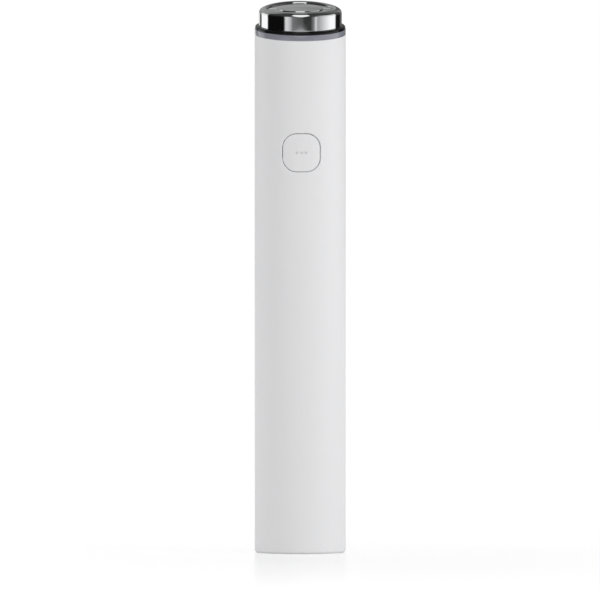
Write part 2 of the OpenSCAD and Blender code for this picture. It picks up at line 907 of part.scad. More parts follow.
module head_collar() {
    color([0.08, 0.08, 0.09]) on_head() difference() {
        rotate_extrude() {
            square([collar_d / 2 - collar_round, collar_h]);
            square([collar_d / 2, collar_h - collar_round]);
            translate([collar_d / 2 - collar_round, collar_h - collar_round])
                circle(r = collar_round);
        }
        translate([0, 0, -far]) cylinder(r = body_d, h = far);
        translate([0, 0, -over]) cylinder(r = neck_r + slip, h = collar_h + 2 * over);
    }
}

module head_board() {
    color([0.1, 0.35, 0.22]) on_head(neck_top)
        cylinder(r = cap_neck_r - board_inset, h = head_board_t);
}

module head_leads() {
    color([0.8, 0.75, 0.3]) for (x = [-head_lead_x, 0, head_lead_x])
        lead([[x, board_back, board_z1 - head_lead_drop], [x, lead_hole_y, board_z1 - head_lead_drop],
              [x, lead_hole_y, chassis_z1 + head_lead_rise], head_point(x, 0, 0),
              head_point(x, 0, neck_top)]);
}

module contact_spring(top) {
    translate([0, 0, neck_top + head_board_t]) {
        cylinder(r = spring_base_r, h = spring_base_h);
        cylinder(r = spring_r, h = top - neck_top - head_board_t);
    }
}

module contact_springs() {
    color([0.85, 0.68, 0.3]) on_head() {
        for (turn = [45 : 90 : 315])
            rotate(turn) translate([(trough_in + trough_out) / 2, 0, 0]) contact_spring(inlay_bottom);
        for (x = [-spring_x, spring_x]) translate([x, 0, 0]) contact_spring(face_under);
    }
}

module electrode_insulator() {
    plate_top = face_under - insulator_gap;
    color([0.07, 0.07, 0.08]) on_head() difference() {
        union() {
            tube(cap_inner_r - insulator_gap, cap_neck_r + insulator_gap, collar_h + insulator_gap,
                 plate_top - insulator_t + 0.1);
            translate([0, 0, plate_top - insulator_t])
                cylinder(r = cap_inner_r - insulator_gap, h = insulator_t);
            arc_areas(trough_in + insulator_gap, trough_out - insulator_gap,
                      bridge_w + 2 * insulator_gap, plate_top - 0.1, inlay_top - 0.1);
        }
        arc_areas(trough_in + inlay_border - fit_gap, trough_out - inlay_border + fit_gap,
                  bridge_w + 2 * inlay_border - 2 * fit_gap, inlay_bottom, inlay_top + over);
        for (turn = [45 : 90 : 315]) rotate(turn)
            translate([(trough_in + trough_out) / 2, 0, neck_top])
                cylinder(r = spring_r + spring_clear, h = cap_h);
        for (x = [-spring_x, spring_x]) translate([x, 0, neck_top])
            cylinder(r = spring_r + spring_clear, h = cap_h);
    }
}

module electrode_inlays() {
    color([0.75, 0.76, 0.78]) on_head()
        arc_areas(trough_in + inlay_border, trough_out - inlay_border,
                  bridge_w + 2 * inlay_border, inlay_bottom, inlay_top);
}

// Crowned face of the cap, from its rounded edge to the centre
function crown_points(r, steps) = [
    for (i = [0 : steps]) let (x = r * (1 - i / steps))
        [x, cap_top + cap_crown * (1 - pow(x / r, 2))]
];

module electrode_cap() {
    edge = cap_d / 2 - cap_round;
    color([0.8, 0.81, 0.83]) on_head() difference() {
        rotate_extrude() {
            translate([0, collar_h]) square([cap_d / 2, cap_h - cap_round]);
            translate([0, collar_h]) square([edge, cap_h]);
            translate([edge, cap_top - cap_round]) circle(r = cap_round);
            polygon(concat([[0, collar_h], [edge, collar_h]], crown_points(edge, 6)));
        }
        translate([0, 0, collar_h - over]) cylinder(r = cap_inner_r, h = face_under - collar_h + over);
        arc_areas(trough_in, trough_out, bridge_w, face_under - over, cap_top + over);
    }
}

body_shell();
bottom_cap();
cap_seal();
usb_shell();
usb_tongue();
usb_gasket();
charge_board();
charge_leads();
chassis_front();
chassis_rear();
chassis_screws();
main_board();
board_chips();
board_capacitors();
step_up_coil();
battery_cell();
battery_sleeve();
battery_foam();
battery_pads();
battery_tabs();
battery_leads();
battery_plug();
tact_switch();
switch_boot();
switch_plunger();
status_leds();
button_cap();
button_light_guide();
button_pad();
motor_can();
motor_end_cap();
motor_bush();
motor_magnets();
motor_shaft();
motor_armature();
eccentric_weight();
motor_sleeve();
motor_leads();
head_carrier();
carrier_screws();
head_seal();
ring_board();
ring_leds();
light_ring();
head_collar();
head_board();
head_leads();
contact_springs();
electrode_insulator();
electrode_inlays();
electrode_cap();
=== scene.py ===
# %% [markdown]
# # A handheld facial toning device
# The device is a slim, matt white grip that stands on its flat end. A rounded button sits
# near the top of its front, and above a thin light ring and a black collar it ends in a
# polished chrome head, which leans a little towards the button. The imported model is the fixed
# frame: every piece made here takes the place of one of its nodes, or gives it a finish.

# %% Load the frame
import json
import math

import bmesh
import bpy
from mathutils import Euler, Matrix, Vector


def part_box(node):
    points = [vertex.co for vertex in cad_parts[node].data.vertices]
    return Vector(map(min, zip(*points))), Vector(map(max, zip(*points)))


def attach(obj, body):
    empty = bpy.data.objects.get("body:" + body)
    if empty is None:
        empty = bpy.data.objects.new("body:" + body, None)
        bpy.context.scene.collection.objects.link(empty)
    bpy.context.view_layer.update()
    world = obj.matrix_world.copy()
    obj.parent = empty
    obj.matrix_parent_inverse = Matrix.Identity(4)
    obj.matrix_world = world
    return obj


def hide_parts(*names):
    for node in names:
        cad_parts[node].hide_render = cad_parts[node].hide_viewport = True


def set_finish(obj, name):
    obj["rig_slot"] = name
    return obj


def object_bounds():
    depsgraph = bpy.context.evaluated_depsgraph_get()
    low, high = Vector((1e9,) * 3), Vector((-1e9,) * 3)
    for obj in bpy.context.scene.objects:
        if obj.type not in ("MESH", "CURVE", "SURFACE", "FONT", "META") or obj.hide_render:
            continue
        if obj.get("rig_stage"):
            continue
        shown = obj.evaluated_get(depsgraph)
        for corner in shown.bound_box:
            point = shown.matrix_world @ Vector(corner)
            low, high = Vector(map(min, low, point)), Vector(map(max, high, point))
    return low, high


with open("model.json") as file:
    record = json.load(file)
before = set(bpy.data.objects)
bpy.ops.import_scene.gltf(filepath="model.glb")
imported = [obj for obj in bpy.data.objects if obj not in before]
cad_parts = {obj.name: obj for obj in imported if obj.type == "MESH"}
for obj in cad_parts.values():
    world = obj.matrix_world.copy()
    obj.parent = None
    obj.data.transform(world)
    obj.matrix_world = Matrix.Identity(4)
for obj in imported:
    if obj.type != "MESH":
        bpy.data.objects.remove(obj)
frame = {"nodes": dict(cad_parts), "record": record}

cad_low, cad_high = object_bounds()
print("nodes:", len(frame["nodes"]), "box:", [round(x, 5) for x in cad_high - cad_low])

# %% [markdown]
# Lengths are written in millimetres, as a maker would say them, and MM turns them into
# Blender's metres. The head has a frame of its own: it stands on the axis at HEAD_Z and leans
# by LEAN, so its pieces are modelled upright and put in place at the end.

# %% Sizes that several pieces share
MM = 0.001
GRIP_R = 12.5
BORE_R = 11.0
AXIS_HEIGHT = 142.5
RING_H = 1.5
LEAN = math.radians(7)
HEAD_Z = AXIS_HEIGHT + RING_H / math.cos(LEAN)
BUTTON_Z = 110.3
NECK_CLEAR_R = 10.3
# How near a plane counts as on it, and how near a radius or an edge counts as at it
CLOSE, ROUGHLY = 0.01, 0.1


def head_point(h):
    """The point of the head's axis at height h above its foot, in metres."""
    return Vector((0, -h * math.sin(LEAN), HEAD_Z + h * math.cos(LEAN))) * MM


HEAD_UP = (head_point(1) - head_point(0)).normalized()
print("head foot at", round(HEAD_Z, 3), "mm")

# %% [markdown]
# The camera is placed first. It looks level along +Y from very slightly above, so an
# orthographic camera keeps the grip's sides parallel. Its place is worked out from the two
# directions across and up the picture.

# %% Camera
AZIMUTH, ELEVATION = math.radians(-1.64), math.radians(2.3)
PICTURE_W = 600
PIXELS_PER_MM = 3.64
PICTURE_ACROSS, PICTURE_UP, PICTURE_BACK = -0.055, 69.28, 1200
across = Vector((math.cos(AZIMUTH), math.sin(AZIMUTH), 0))
back = Vector((math.sin(AZIMUTH) * math.cos(ELEVATION),
               -math.cos(AZIMUTH) * math.cos(ELEVATION), math.sin(ELEVATION)))
up = back.cross(across)
camera_data = bpy.data.cameras.new("camera")
camera_data.type = "ORTHO"
camera_data.ortho_scale = PICTURE_W / PIXELS_PER_MM * MM
camera = bpy.data.objects.new("camera", camera_data)
camera.location = (across * PICTURE_ACROSS + up * PICTURE_UP + back * PICTURE_BACK) * MM
camera.rotation_mode = "QUATERNION"
camera.rotation_quaternion = (-back).to_track_quat("-Z", "Y")
bpy.context.scene.collection.objects.link(camera)
bpy.context.scene.camera = camera
print("picture is", round(camera_data.ortho_scale, 5), "m wide")

# %% [markdown]
# Operators act on whatever is selected, so a few helpers keep that in hand: one clears the
# selection, one opens a piece for editing, one selects by place, and one closes a piece.

# %% Selection helpers
def deselect():
    """Leaves edit mode and selects nothing."""
    if bpy.context.mode != "OBJECT":
        bpy.ops.object.mode_set(mode="OBJECT")
    bpy.ops.object.select_all(action="DESELECT")


def activate(*objects):
    """Selects these objects alone; the first is the active one."""
    deselect()
    for obj in objects:
        obj.select_set(True)
    bpy.context.view_layer.objects.active = objects[0]


def name_it(name, scale=(1, 1, 1)):
    """Names the primitive just added and moves its place and size into its mesh."""
    obj = bpy.context.active_object
    obj.name = obj.data.name = name
    obj.scale = scale
    bpy.ops.object.transform_apply(location=True, rotation=True, scale=True)
    return obj


def edit(obj):
    """Opens the piece in edit mode with nothing selected."""
    activate(obj)
    bpy.ops.object.mode_set(mode="EDIT")
    bpy.ops.mesh.select_all(action="DESELECT")


def middle(element):
    """The middle of a vertex, edge or face, in millimetres."""
    if isinstance(element, bmesh.types.BMVert):
        return element.co / MM
    return sum((v.co for v in element.verts), Vector()) / len(element.verts) / MM


def pick(obj, kind, test):
    """Selects the vertices, edges or faces of the open mesh for which test is true."""
    bpy.ops.mesh.select_mode(type=kind)
    bpy.ops.mesh.select_all(action="DESELECT")
    mesh = bmesh.from_edit_mesh(obj.data)
    found = 0
    for element in {"VERT": mesh.verts, "EDGE": mesh.edges, "FACE": mesh.faces}[kind]:
        if test(element):
            element.select_set(True)
            found += 1
    mesh.select_flush_mode()
    bmesh.update_edit_mesh(obj.data)
    return found


# %% Finishing helpers
def apply_all(obj):
    """Applies every modifier of the piece, in order."""
    activate(obj)
    for modifier in list(obj.modifiers):
        bpy.ops.object.modifier_apply(modifier=modifier.name)


def close_piece(obj, angle=35):
    """Merges doubles, turns the faces outward and smooths all but the sharp edges."""
    edit(obj)
    bpy.ops.mesh.select_all(action="SELECT")
    bpy.ops.mesh.remove_doubles(threshold=1e-6)
    bpy.ops.mesh.normals_make_consistent(inside=False)
    activate(obj)
    bpy.ops.object.shade_smooth_by_angle(angle=math.radians(angle))
    print(obj.name, len(obj.data.polygons), "faces,",
          "closed" if is_closed(obj) else "open")


def is_closed(obj):
    """Whether every edge of the piece has two faces."""
    mesh = bmesh.new()
    mesh.from_mesh(obj.data)
    closed = all(len(e.link_faces) == 2 for e in mesh.edges)
    mesh.free()
    return closed


# %% [markdown]
# A few moves come back on most pieces: a selected edge loop is drawn out to a new ring, a flat
# section gets round corners and is spun round the axis, and a piece made upright is put on the
# leaning head.

# %% Modelling helpers
def draw_out(shift, scale, centre):
    """Extrudes the selected loop by shift (mm) and scales it about centre (mm)."""
    bpy.ops.mesh.extrude_region_move(
        TRANSFORM_OT_translate={"value": Vector(shift) * MM})
    bpy.ops.transform.resize(value=scale, center_override=Vector(centre) * MM)


def add_plane(name, size, place, turn):
    """A flat rectangle of that size (mm), at its place, turned by Euler angles."""
    deselect()
    bpy.ops.mesh.primitive_plane_add(size=1, location=Vector(place) * MM, rotation=turn)
    return name_it(name, (size[0] * MM, size[1] * MM, 1))


def round_corners(obj, test, radius, segments):
    """Rounds the corners of a flat outline at the vertices that pass the test."""
    pick(obj, "VERT", test)
    bpy.ops.mesh.bevel(offset=radius * MM, offset_type="OFFSET", segments=segments,
                       affect="VERTICES", profile=0.5)


def spin_round(steps):
    """Turns the open flat outline in the XZ plane into a ring about Z."""
    bpy.ops.mesh.select_all(action="SELECT")
    bpy.ops.mesh.delete(type="ONLY_FACE")
    bpy.ops.mesh.select_all(action="SELECT")
    bpy.ops.mesh.spin(steps=steps, angle=2 * math.pi, center=(0, 0, 0), axis=(0, 0, 1))


def put_on_head(obj):
    """Leans an upright piece over and lifts it to the head's foot."""
    activate(obj)
    obj.rotation_euler = (LEAN, 0, 0)
    obj.location = head_point(0)
    bpy.ops.object.transform_apply(location=True, rotation=True, scale=True)


def stand_in(obj, body, slot, *nodes):
    """The piece rides on its body and takes the place of these nodes."""
    deselect()
    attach(obj, body)
    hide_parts(*nodes)
    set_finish(obj, slot)


# %% [markdown]
# ## The sleeve
# The real sleeve is one moulded tube with a rounded window for the button. A cylinder gives
# the outer skin. A patch of its grid is deleted at the front, a rounded outline with just as
# many vertices is laid in the hole, and bridging the two gives clean quads, which no cut
# would. The inner skin is made the same way, and the two are bridged at the window, base and
# top.

# %% Sizes of the sleeve's window
COLUMNS = 256
PATCH_COLUMNS = 44
PATCH_HALF_H = 6.5
PATCH_HALF_ANGLE = PATCH_COLUMNS / COLUMNS * math.pi
WINDOW = (10.5, 10.6)
WINDOW_CORNER = 3.95
CORNER_STEPS = 32
SKIN_TOP = 150
FRONT_SPARE = 2
print("window patch:", PATCH_COLUMNS, "columns wide,", 2 * PATCH_HALF_H, "mm high")


# %% Helpers for the two skins
def clean_cylinder(name, radius, low, high):
    """An open tube about the axis from one height to another (mm)."""
    deselect()
    bpy.ops.mesh.primitive_cylinder_add(
        vertices=COLUMNS, radius=radius * MM, depth=(high - low) * MM,
        end_fill_type="NOTHING", location=(0, 0, (low + high) / 2 * MM))
    return name_it(name)


def rounded_outline(name, size, corner, place_y):
    """A rounded rectangle facing -Y at the button, with PATCH_COLUMNS edges per quarter."""
    obj = add_plane(name, size, (0, place_y, BUTTON_Z), (math.pi / 2, 0, 0))
    edit(obj)
    round_corners(obj, lambda v: True, corner, CORNER_STEPS)
    straight = min(size) - 2 * corner - CLOSE
    pick(obj, "EDGE", lambda e: e.calc_length() > straight * MM)
    bpy.ops.mesh.subdivide(number_cuts=PATCH_COLUMNS - CORNER_STEPS - 1)
    return obj


def press_onto(obj, target, along_y=False):
    """Moves the piece's vertices onto a surface, along +Y or to the nearest point."""
    wrap = obj.modifiers.new("onto", "SHRINKWRAP")
    wrap.target = target
    if along_y:
        wrap.wrap_method = "PROJECT"
        wrap.use_project_x = wrap.use_project_z = False
        wrap.use_project_y = True
        wrap.use_positive_direction = True
        wrap.use_negative_direction = False
    apply_all(obj)


def in_band(element):
    """Whether an element lies within the heights of the window's patch."""
    return abs(middle(element).z - BUTTON_Z) < PATCH_HALF_H - ROUGHLY


def in_patch(face):
    """Whether a face lies within the patch, at the front."""
    x, y, _ = middle(face)
    return in_band(face) and y < 0 and abs(math.atan2(x, -y)) < PATCH_HALF_ANGLE


def skin(name, radius, low, window, corner):
    """A cylinder with a rounded window in its front, all in quads."""
    body = clean_cylinder(name, radius, low, SKIN_TOP)
    edit(body)
    for level in (BUTTON_Z - PATCH_HALF_H, BUTTON_Z + PATCH_HALF_H):
        bpy.ops.mesh.select_all(action="SELECT")
        bpy.ops.mesh.bisect(plane_co=(0, 0, level * MM), plane_no=(0, 0, 1))
    pick(body, "EDGE", in_band)
    bpy.ops.mesh.subdivide(number_cuts=PATCH_COLUMNS - 1)
    pick(body, "FACE", in_patch)
    bpy.ops.mesh.delete(type="FACE")
    outline = rounded_outline("outline", window, corner, -radius - FRONT_SPARE)
    bpy.ops.mesh.select_all(action="SELECT")
    bpy.ops.mesh.delete(type="ONLY_FACE")
    solid = clean_cylinder("onto_skin", radius, low, SKIN_TOP)
    press_onto(outline, solid, along_y=True)
    activate(body, outline)
    bpy.ops.object.join()
    edit(body)
    pick(body, "EDGE", lambda e: e.is_boundary and middle(e).y < 0
         and abs(middle(e).z - BUTTON_Z) < PATCH_HALF_H + CLOSE or e.is_wire)
    bpy.ops.mesh.bridge_edge_loops(number_cuts=1, interpolation="LINEAR")
    press_onto(body, solid)
    bpy.data.objects.remove(solid)
    return body


# %% The sleeve's two skins
LIP = 0.25
BASE_ROUND = 0.8
BORE_CHAMFER = 0.12
outer = skin("body_shell_form", GRIP_R, BASE_ROUND,
             (WINDOW[0] + 2 * LIP, WINDOW[1] + 2 * LIP), WINDOW_CORNER + LIP)
inner = skin("inner", BORE_R, BORE_CHAMFER, WINDOW, WINDOW_CORNER)
print("skins:", len(outer.data.polygons), len(inner.data.polygons), "faces")

# %% [markdown]
# A moulded edge is never sharp. The outer skin's open loops are drawn inwards along a quarter
# circle, step by step, at the window and at the base. Then the skins are joined, the slanted
# top is cut through both at once, and bridges close the wall.

# %% Round the window's lip and the base
LIP_STEPS = 4
BASE_STEPS = 8
# Reach above and below the button in which its window's loops lie
WINDOW_REACH = PATCH_HALF_H + 0.5


def at_window(element):
    """Whether an element lies at the height of the window."""
    return abs(middle(element).z - BUTTON_Z) < WINDOW_REACH


def quarter(step, steps):
    """The two ends of one step of a quarter circle, in radians."""
    return [math.pi / 2 * (step + i) / steps for i in (0, 1)]


edit(outer)
pick(outer, "EDGE", lambda e: e.is_boundary and at_window(e))
for step in range(LIP_STEPS):
    a, b = quarter(step, LIP_STEPS)
    reach = [LIP * (1 - math.sin(x)) for x in (a, b)]
    scale = [(w / 2 + reach[1]) / (w / 2 + reach[0]) for w in WINDOW]
    draw_out((0, LIP * (math.cos(a) - math.cos(b)), 0), (scale[0], 1, scale[1]),
             (0, 0, BUTTON_Z))
pick(outer, "EDGE", lambda e: e.is_boundary and middle(e).z < BASE_ROUND + CLOSE)
for step in range(BASE_STEPS):
    a, b = quarter(step, BASE_STEPS)
    radius = [GRIP_R - BASE_ROUND * (1 - math.cos(x)) for x in (a, b)]
    scale = radius[1] / radius[0]
    draw_out((0, 0, BASE_ROUND * (math.sin(a) - math.sin(b))), (scale, scale, 1), (0, 0, 0))
scale = (BORE_R + BORE_CHAMFER) / (GRIP_R - BASE_ROUND)
draw_out((0, 0, 0), (scale, scale, 1), (0, 0, 0))
print("rounds:", LIP, "mm at the window,", BASE_ROUND, "mm at the base")

# %% Join the skins
TOP_EDGE = 0.06
SHARP = 1.0
activate(outer, inner)
bpy.ops.object.join()
edit(outer)
top_at = head_point(-RING_H)
bpy.ops.mesh.select_all(action="SELECT")
bpy.ops.mesh.bisect(plane_co=top_at, plane_no=HEAD_UP, clear_outer=True)


def on_top(element):
    """Whether an element lies in the plane of the sleeve's top."""
    return abs((middle(element) * MM - top_at).dot(HEAD_UP) / MM) < CLOSE


def at_base(element):
    """Whether an element lies at the sleeve's foot."""
    return middle(element).z < BASE_ROUND


for here in (at_base, on_top, at_window):
    pick(outer, "EDGE", lambda e: e.is_boundary and here(e))
    bpy.ops.mesh.bridge_edge_loops()
pick(outer, "EDGE", lambda e: on_top(e) and middle(e).xy.length > GRIP_R - ROUGHLY
     and len(e.link_faces) == 2 and e.calc_face_angle() > SHARP)
bpy.ops.mesh.bevel(offset=TOP_EDGE * MM, segments=2, affect="EDGES")
close_piece(outer)
sleeve = outer

# %% [markdown]
# ## The light ring
# The ring is a slice of the grip's cylinder between two slanted planes, with a bore along the
# head's axis. So its outside is cut from an upright cylinder and its bore is a leaning one.

# %% Light ring
RING_EDGE = 0.05
BELOW_RING = AXIS_HEIGHT - 6
ring = clean_cylinder("light_ring_form", GRIP_R, BELOW_RING, SKIN_TOP)
edit(ring)
for plane, keep in ((head_point(-RING_H), "clear_inner"), (head_point(0), "clear_outer")):
    bpy.ops.mesh.select_all(action="SELECT")
    bpy.ops.mesh.bisect(plane_co=plane, plane_no=HEAD_UP, **{keep: True})
bore = clean_cylinder("bore", NECK_CLEAR_R, -RING_H, 0)
put_on_head(bore)
activate(ring, bore)
bpy.ops.object.join()
edit(ring)


def at_head_height(element, level):
    """Whether an element lies at that height over the head's foot (mm)."""
    height = (middle(element) * MM - head_point(0)).dot(HEAD_UP) / MM
    return abs(height - level) < CLOSE


for level in (-RING_H, 0):
    pick(ring, "EDGE", lambda e: e.is_boundary and at_head_height(e, level))
    bpy.ops.mesh.bridge_edge_loops()
pick(ring, "EDGE", lambda e: middle(e).xy.length > GRIP_R - ROUGHLY
     and (at_head_height(e, 0) or at_head_height(e, -RING_H)))
bpy.ops.mesh.bevel(offset=RING_EDGE * MM, segments=2, affect="EDGES")
close_piece(ring)

# %% [markdown]
# ## The collar
# The black collar is a plain turned ring, so a flat section gets its rounded corners first and
# is spun round the axis. The large round at the top outside is what catches the light.

# %% Collar
COLLAR_H = 0.86
COLLAR_R = 12.4
COLLAR_ROUND, COLLAR_ROUND_STEPS = 0.5, 10
COLLAR_FOOT_ROUND, COLLAR_FOOT_STEPS = 0.06, 3
collar = add_plane("head_collar_form", (COLLAR_R - NECK_CLEAR_R, COLLAR_H),
                   ((COLLAR_R + NECK_CLEAR_R) / 2, 0, COLLAR_H / 2), (math.pi / 2, 0, 0))
edit(collar)
outside = COLLAR_R - ROUGHLY
round_corners(collar, lambda v: middle(v).x > outside and middle(v).z > COLLAR_H - ROUGHLY,
              COLLAR_ROUND, COLLAR_ROUND_STEPS)
round_corners(collar, lambda v: middle(v).x > outside and middle(v).z < ROUGHLY,
              COLLAR_FOOT_ROUND, COLLAR_FOOT_STEPS)
spin_round(COLUMNS)
close_piece(collar)
put_on_head(collar)

# %% [markdown]
# ## The chrome cap
# The cap is drawn from sheet metal with soft edges everywhere, which is what a subdivision
# surface gives. A coarse cage of rings goes up the side, over the round edge, across the
# crowned face and down into the groove that runs all round it. The four trough windows are
# faces of the groove's floor: their end corners are moved so that the bridges between them
# have straight sides, and then the faces are deleted. Displace arches the face a little from
# left to right, Solidify gives the sheet its thickness, Bevel keeps the rims tight, and
# Subdivision smooths it all.

# %% Sizes of the head
CAP_R, CAP_TOP, CROWN = 11.45, 6.05, 0.25
ROUND_ACROSS, ROUND_DOWN, ROUND_STEP = 1.4, 1.1, 18
TROUGH_IN, TROUGH_MIDDLE, TROUGH_OUT, BRIDGE_W = 6.2, 7.7, 9.2, 3.7
GROOVE_FLOOR, WALL_DRAFT, RIM_IN = 5.5, 0.08, 9.75
RIM_STEP = (9.35, 5.93)
DISC_TOP, DISC_CROWN = 5.76, 0.08
DISC_RINGS = (TROUGH_IN, 5.6, 4.2, 2.6, 1.2, 0.4)
CAP_CLEAR, SKIRT_BEND = 0.02, 0.25
ARCH, ARCH_FOOT, ARCH_FULL = 0.52, 3.2, 4.7
SHEET = 0.6
edge_r = CAP_R - ROUND_ACROSS


def crown(r):
    """Height of the crowned rim at a radius."""
    return CAP_TOP + CROWN * (1 - (r / edge_r) ** 2)


def disc(r):
    """Height of the disc inside the groove at a radius."""
    return DISC_TOP + DISC_CROWN * (1 - (r / TROUGH_IN) ** 2)


print("rim at", round(crown(RIM_IN), 3), "mm, disc at", disc(0), "mm")

# %% Cages of rings
CAP_COLUMNS = 48
# A trough lies between these columns, in degrees from the last bridge
TROUGH_START, TROUGH_END = 15, 75


def ring_cage(name, rings):
    """A cage drawn out from a circle through rings of (radius, height)."""
    deselect()
    bpy.ops.mesh.primitive_circle_add(vertices=CAP_COLUMNS, radius=rings[0][0] * MM,
                                      location=(0, 0, rings[0][1] * MM))
    cage = name_it(name)
    edit(cage)
    bpy.ops.mesh.select_mode(type="EDGE")
    bpy.ops.mesh.select_all(action="SELECT")
    for (r0, h0), (r1, h1) in zip(rings, rings[1:]):
        draw_out((0, 0, h1 - h0), (r1 / r0, r1 / r0, 1), (0, 0, h1))
    return cage


def quarter_turn(element):
    """The angle of an element round the axis, counted from the last bridge."""
    x, y, _ = middle(element)
    return math.degrees(math.atan2(y, x)) % 90


def beside_bridge(face):
    """Whether a face lies over a trough and not on a bridge."""
    return TROUGH_START - 1 < quarter_turn(face) < TROUGH_END + 1


def straighten(cage, levels, half_width):
    """Moves the corners beside each bridge until the bridge has parallel sides (mm)."""
    moves = []
    for vertex in bmesh.from_edit_mesh(cage.data).verts:
        r, turn = middle(vertex).xy.length, quarter_turn(vertex)
        if min(abs(r - level) for level in levels) < ROUGHLY and min(
                abs(turn - TROUGH_START), abs(turn - TROUGH_END)) < 1:
            end = math.degrees(math.asin(half_width / r))
            wanted = end if turn < 45 else 90 - end
            x, y, _ = middle(vertex)
            angle = math.atan2(y, x) + math.radians(wanted - turn)
            moves.append((vertex.co.copy(), Vector((r * math.cos(angle) - x,
                                                    r * math.sin(angle) - y, 0))))
    for place, way in moves:
        pick(cage, "VERT", lambda v: (v.co - place).length < 1e-6)
        bpy.ops.transform.translate(value=way * MM)
    return len(moves)


# %% Arch and soft rims
RIM_ANGLE = math.radians(50)
SMOOTHING = 2
CAP_RIM, CONTACT_RIM = 0.13, 0.1
# Flatter edges are shaded smooth on the head, in degrees
HEAD_SMOOTH = 60


def arch_over(obj, sink=0):
    """Lowers the piece by sink (mm), and towards left and right by up to ARCH more."""
    deselect()
    group = obj.vertex_groups.new(name="arch")
    for vertex in obj.data.vertices:
        x, _, h = vertex.co / MM
        height = min(1, max(0, (h - ARCH_FOOT) / (ARCH_FULL - ARCH_FOOT)))
        group.add([vertex.index], (ARCH * (x / CAP_R) ** 2 + sink) * height, "REPLACE")
    sag = obj.modifiers.new("arch", "DISPLACE")
    sag.direction, sag.mid_level, sag.strength = "Z", 0, -MM
    sag.vertex_group = "arch"
    apply_all(obj)
    obj.vertex_groups.clear()


def soften(obj, width):
    """Tight rims of that width (mm) under a subdivision surface."""
    rims = obj.modifiers.new("rims", "BEVEL")
    rims.width, rims.segments = width * MM, 2
    rims.limit_method, rims.angle_limit = "ANGLE", RIM_ANGLE
    smooth = obj.modifiers.new("smooth", "SUBSURF")
    smooth.levels = smooth.render_levels = SMOOTHING
    apply_all(obj)


# %% Chrome cap
cap_rings = [(CAP_R, h) for h in (COLLAR_H + CAP_CLEAR, COLLAR_H + SKIRT_BEND,
                                  ARCH_FOOT, ARCH_FULL)]
cap_rings += [(edge_r + ROUND_ACROSS * math.cos(math.radians(a)),
               CAP_TOP - ROUND_DOWN * (1 - math.sin(math.radians(a))))
              for a in range(0, 91, ROUND_STEP)]
cap_rings += [(RIM_IN, crown(RIM_IN)), RIM_STEP]
cap_rings += [(r, GROOVE_FLOOR) for r in (TROUGH_OUT - WALL_DRAFT, TROUGH_MIDDLE,
                                          TROUGH_IN + WALL_DRAFT)]
cap_rings += [(r, disc(r)) for r in DISC_RINGS]
cap = ring_cage("electrode_cap_form", cap_rings)
bpy.ops.mesh.edge_face_add()
bpy.ops.mesh.poke()
print("corners moved:",
      straighten(cap, (TROUGH_IN, TROUGH_MIDDLE, TROUGH_OUT), BRIDGE_W / 2))
print("trough faces:", pick(cap, "FACE", lambda f: beside_bridge(f)
                            and abs(middle(f).z - GROOVE_FLOOR) < CLOSE))
bpy.ops.mesh.delete(type="FACE")
bpy.ops.mesh.select_all(action="SELECT")
bpy.ops.mesh.normals_make_consistent(inside=False)
arch_over(cap)
sheet_wall = cap.modifiers.new("sheet", "SOLIDIFY")
sheet_wall.thickness, sheet_wall.offset = SHEET * MM, -1
soften(cap, CAP_RIM)
close_piece(cap, HEAD_SMOOTH)
put_on_head(cap)

# %% [markdown]
# The four contacts lie in the troughs with a narrow black border all round. They come from the
# same kind of cage: three rings, of which the parts under the bridges are deleted. The strips
# are then drawn down to a flat bottom.

# %% Contacts
BORDER = 0.3
CONTACT_TOP, CONTACT_BOTTOM, CONTACT_CROWN = 5.53, 5.0, 0.04
contact_rings = [(TROUGH_IN + BORDER, CONTACT_TOP),
                 (TROUGH_MIDDLE, CONTACT_TOP + CONTACT_CROWN),
                 (TROUGH_OUT - BORDER, CONTACT_TOP)]
contacts = ring_cage("electrode_inlays_form", contact_rings)
straighten(contacts, [r for r, _ in contact_rings], BRIDGE_W / 2 + BORDER)
pick(contacts, "FACE", lambda f: not beside_bridge(f))
bpy.ops.mesh.delete(type="FACE")
arch_over(contacts)
edit(contacts)
bpy.ops.mesh.select_all(action="SELECT")
bpy.ops.mesh.extrude_region_move(
    TRANSFORM_OT_translate={"value": (0, 0, (CONTACT_BOTTOM - CONTACT_TOP) * MM)})
bpy.ops.transform.resize(value=(1, 1, 0), center_override=(0, 0, CONTACT_BOTTOM * MM))
bpy.ops.mesh.select_all(action="SELECT")
bpy.ops.mesh.normals_make_consistent(inside=False)
deselect()
soften(contacts, CONTACT_RIM)
close_piece(contacts, HEAD_SMOOTH)
put_on_head(contacts)

# %% [markdown]
# ## Pieces that keep the frame's own form
# The button, its light guide, the base and the charging socket already have the right form,
# but every edge on them is sharp. Each is copied, its loose triangles are merged, and a bevel
# breaks the edges, as moulding and stamping do.

# %% Copies with broken edges
EDGE_ANGLE = 40
FLAT = math.radians(0.2)


def merged_copy(node):
    """A copy of a node whose loose triangles are merged."""
    source = frame["nodes"][node]
    deselect()
    copy = bpy.data.objects.new(node + "_form", source.data.copy())
    copy.data.name = node + "_form"
    bpy.context.scene.collection.objects.link(copy)
    edit(copy)
    bpy.ops.mesh.select_all(action="SELECT")
    bpy.ops.mesh.customdata_custom_splitnormals_clear()
    bpy.ops.mesh.remove_doubles(threshold=1e-7)
    return copy


def softened(node, width):
    """A merged copy whose sharp edges are bevelled (mm)."""
    copy = merged_copy(node)
    bpy.ops.mesh.select_all(action="SELECT")
    bpy.ops.mesh.dissolve_limited(angle_limit=FLAT)
    deselect()
    edges = copy.modifiers.new("edges", "BEVEL")
    edges.width, edges.segments = width * MM, 3
    edges.limit_method, edges.angle_limit = "ANGLE", math.radians(EDGE_ANGLE)
    edges.use_clamp_overlap = True
    apply_all(copy)
    close_piece(copy, EDGE_ANGLE)
    return copy


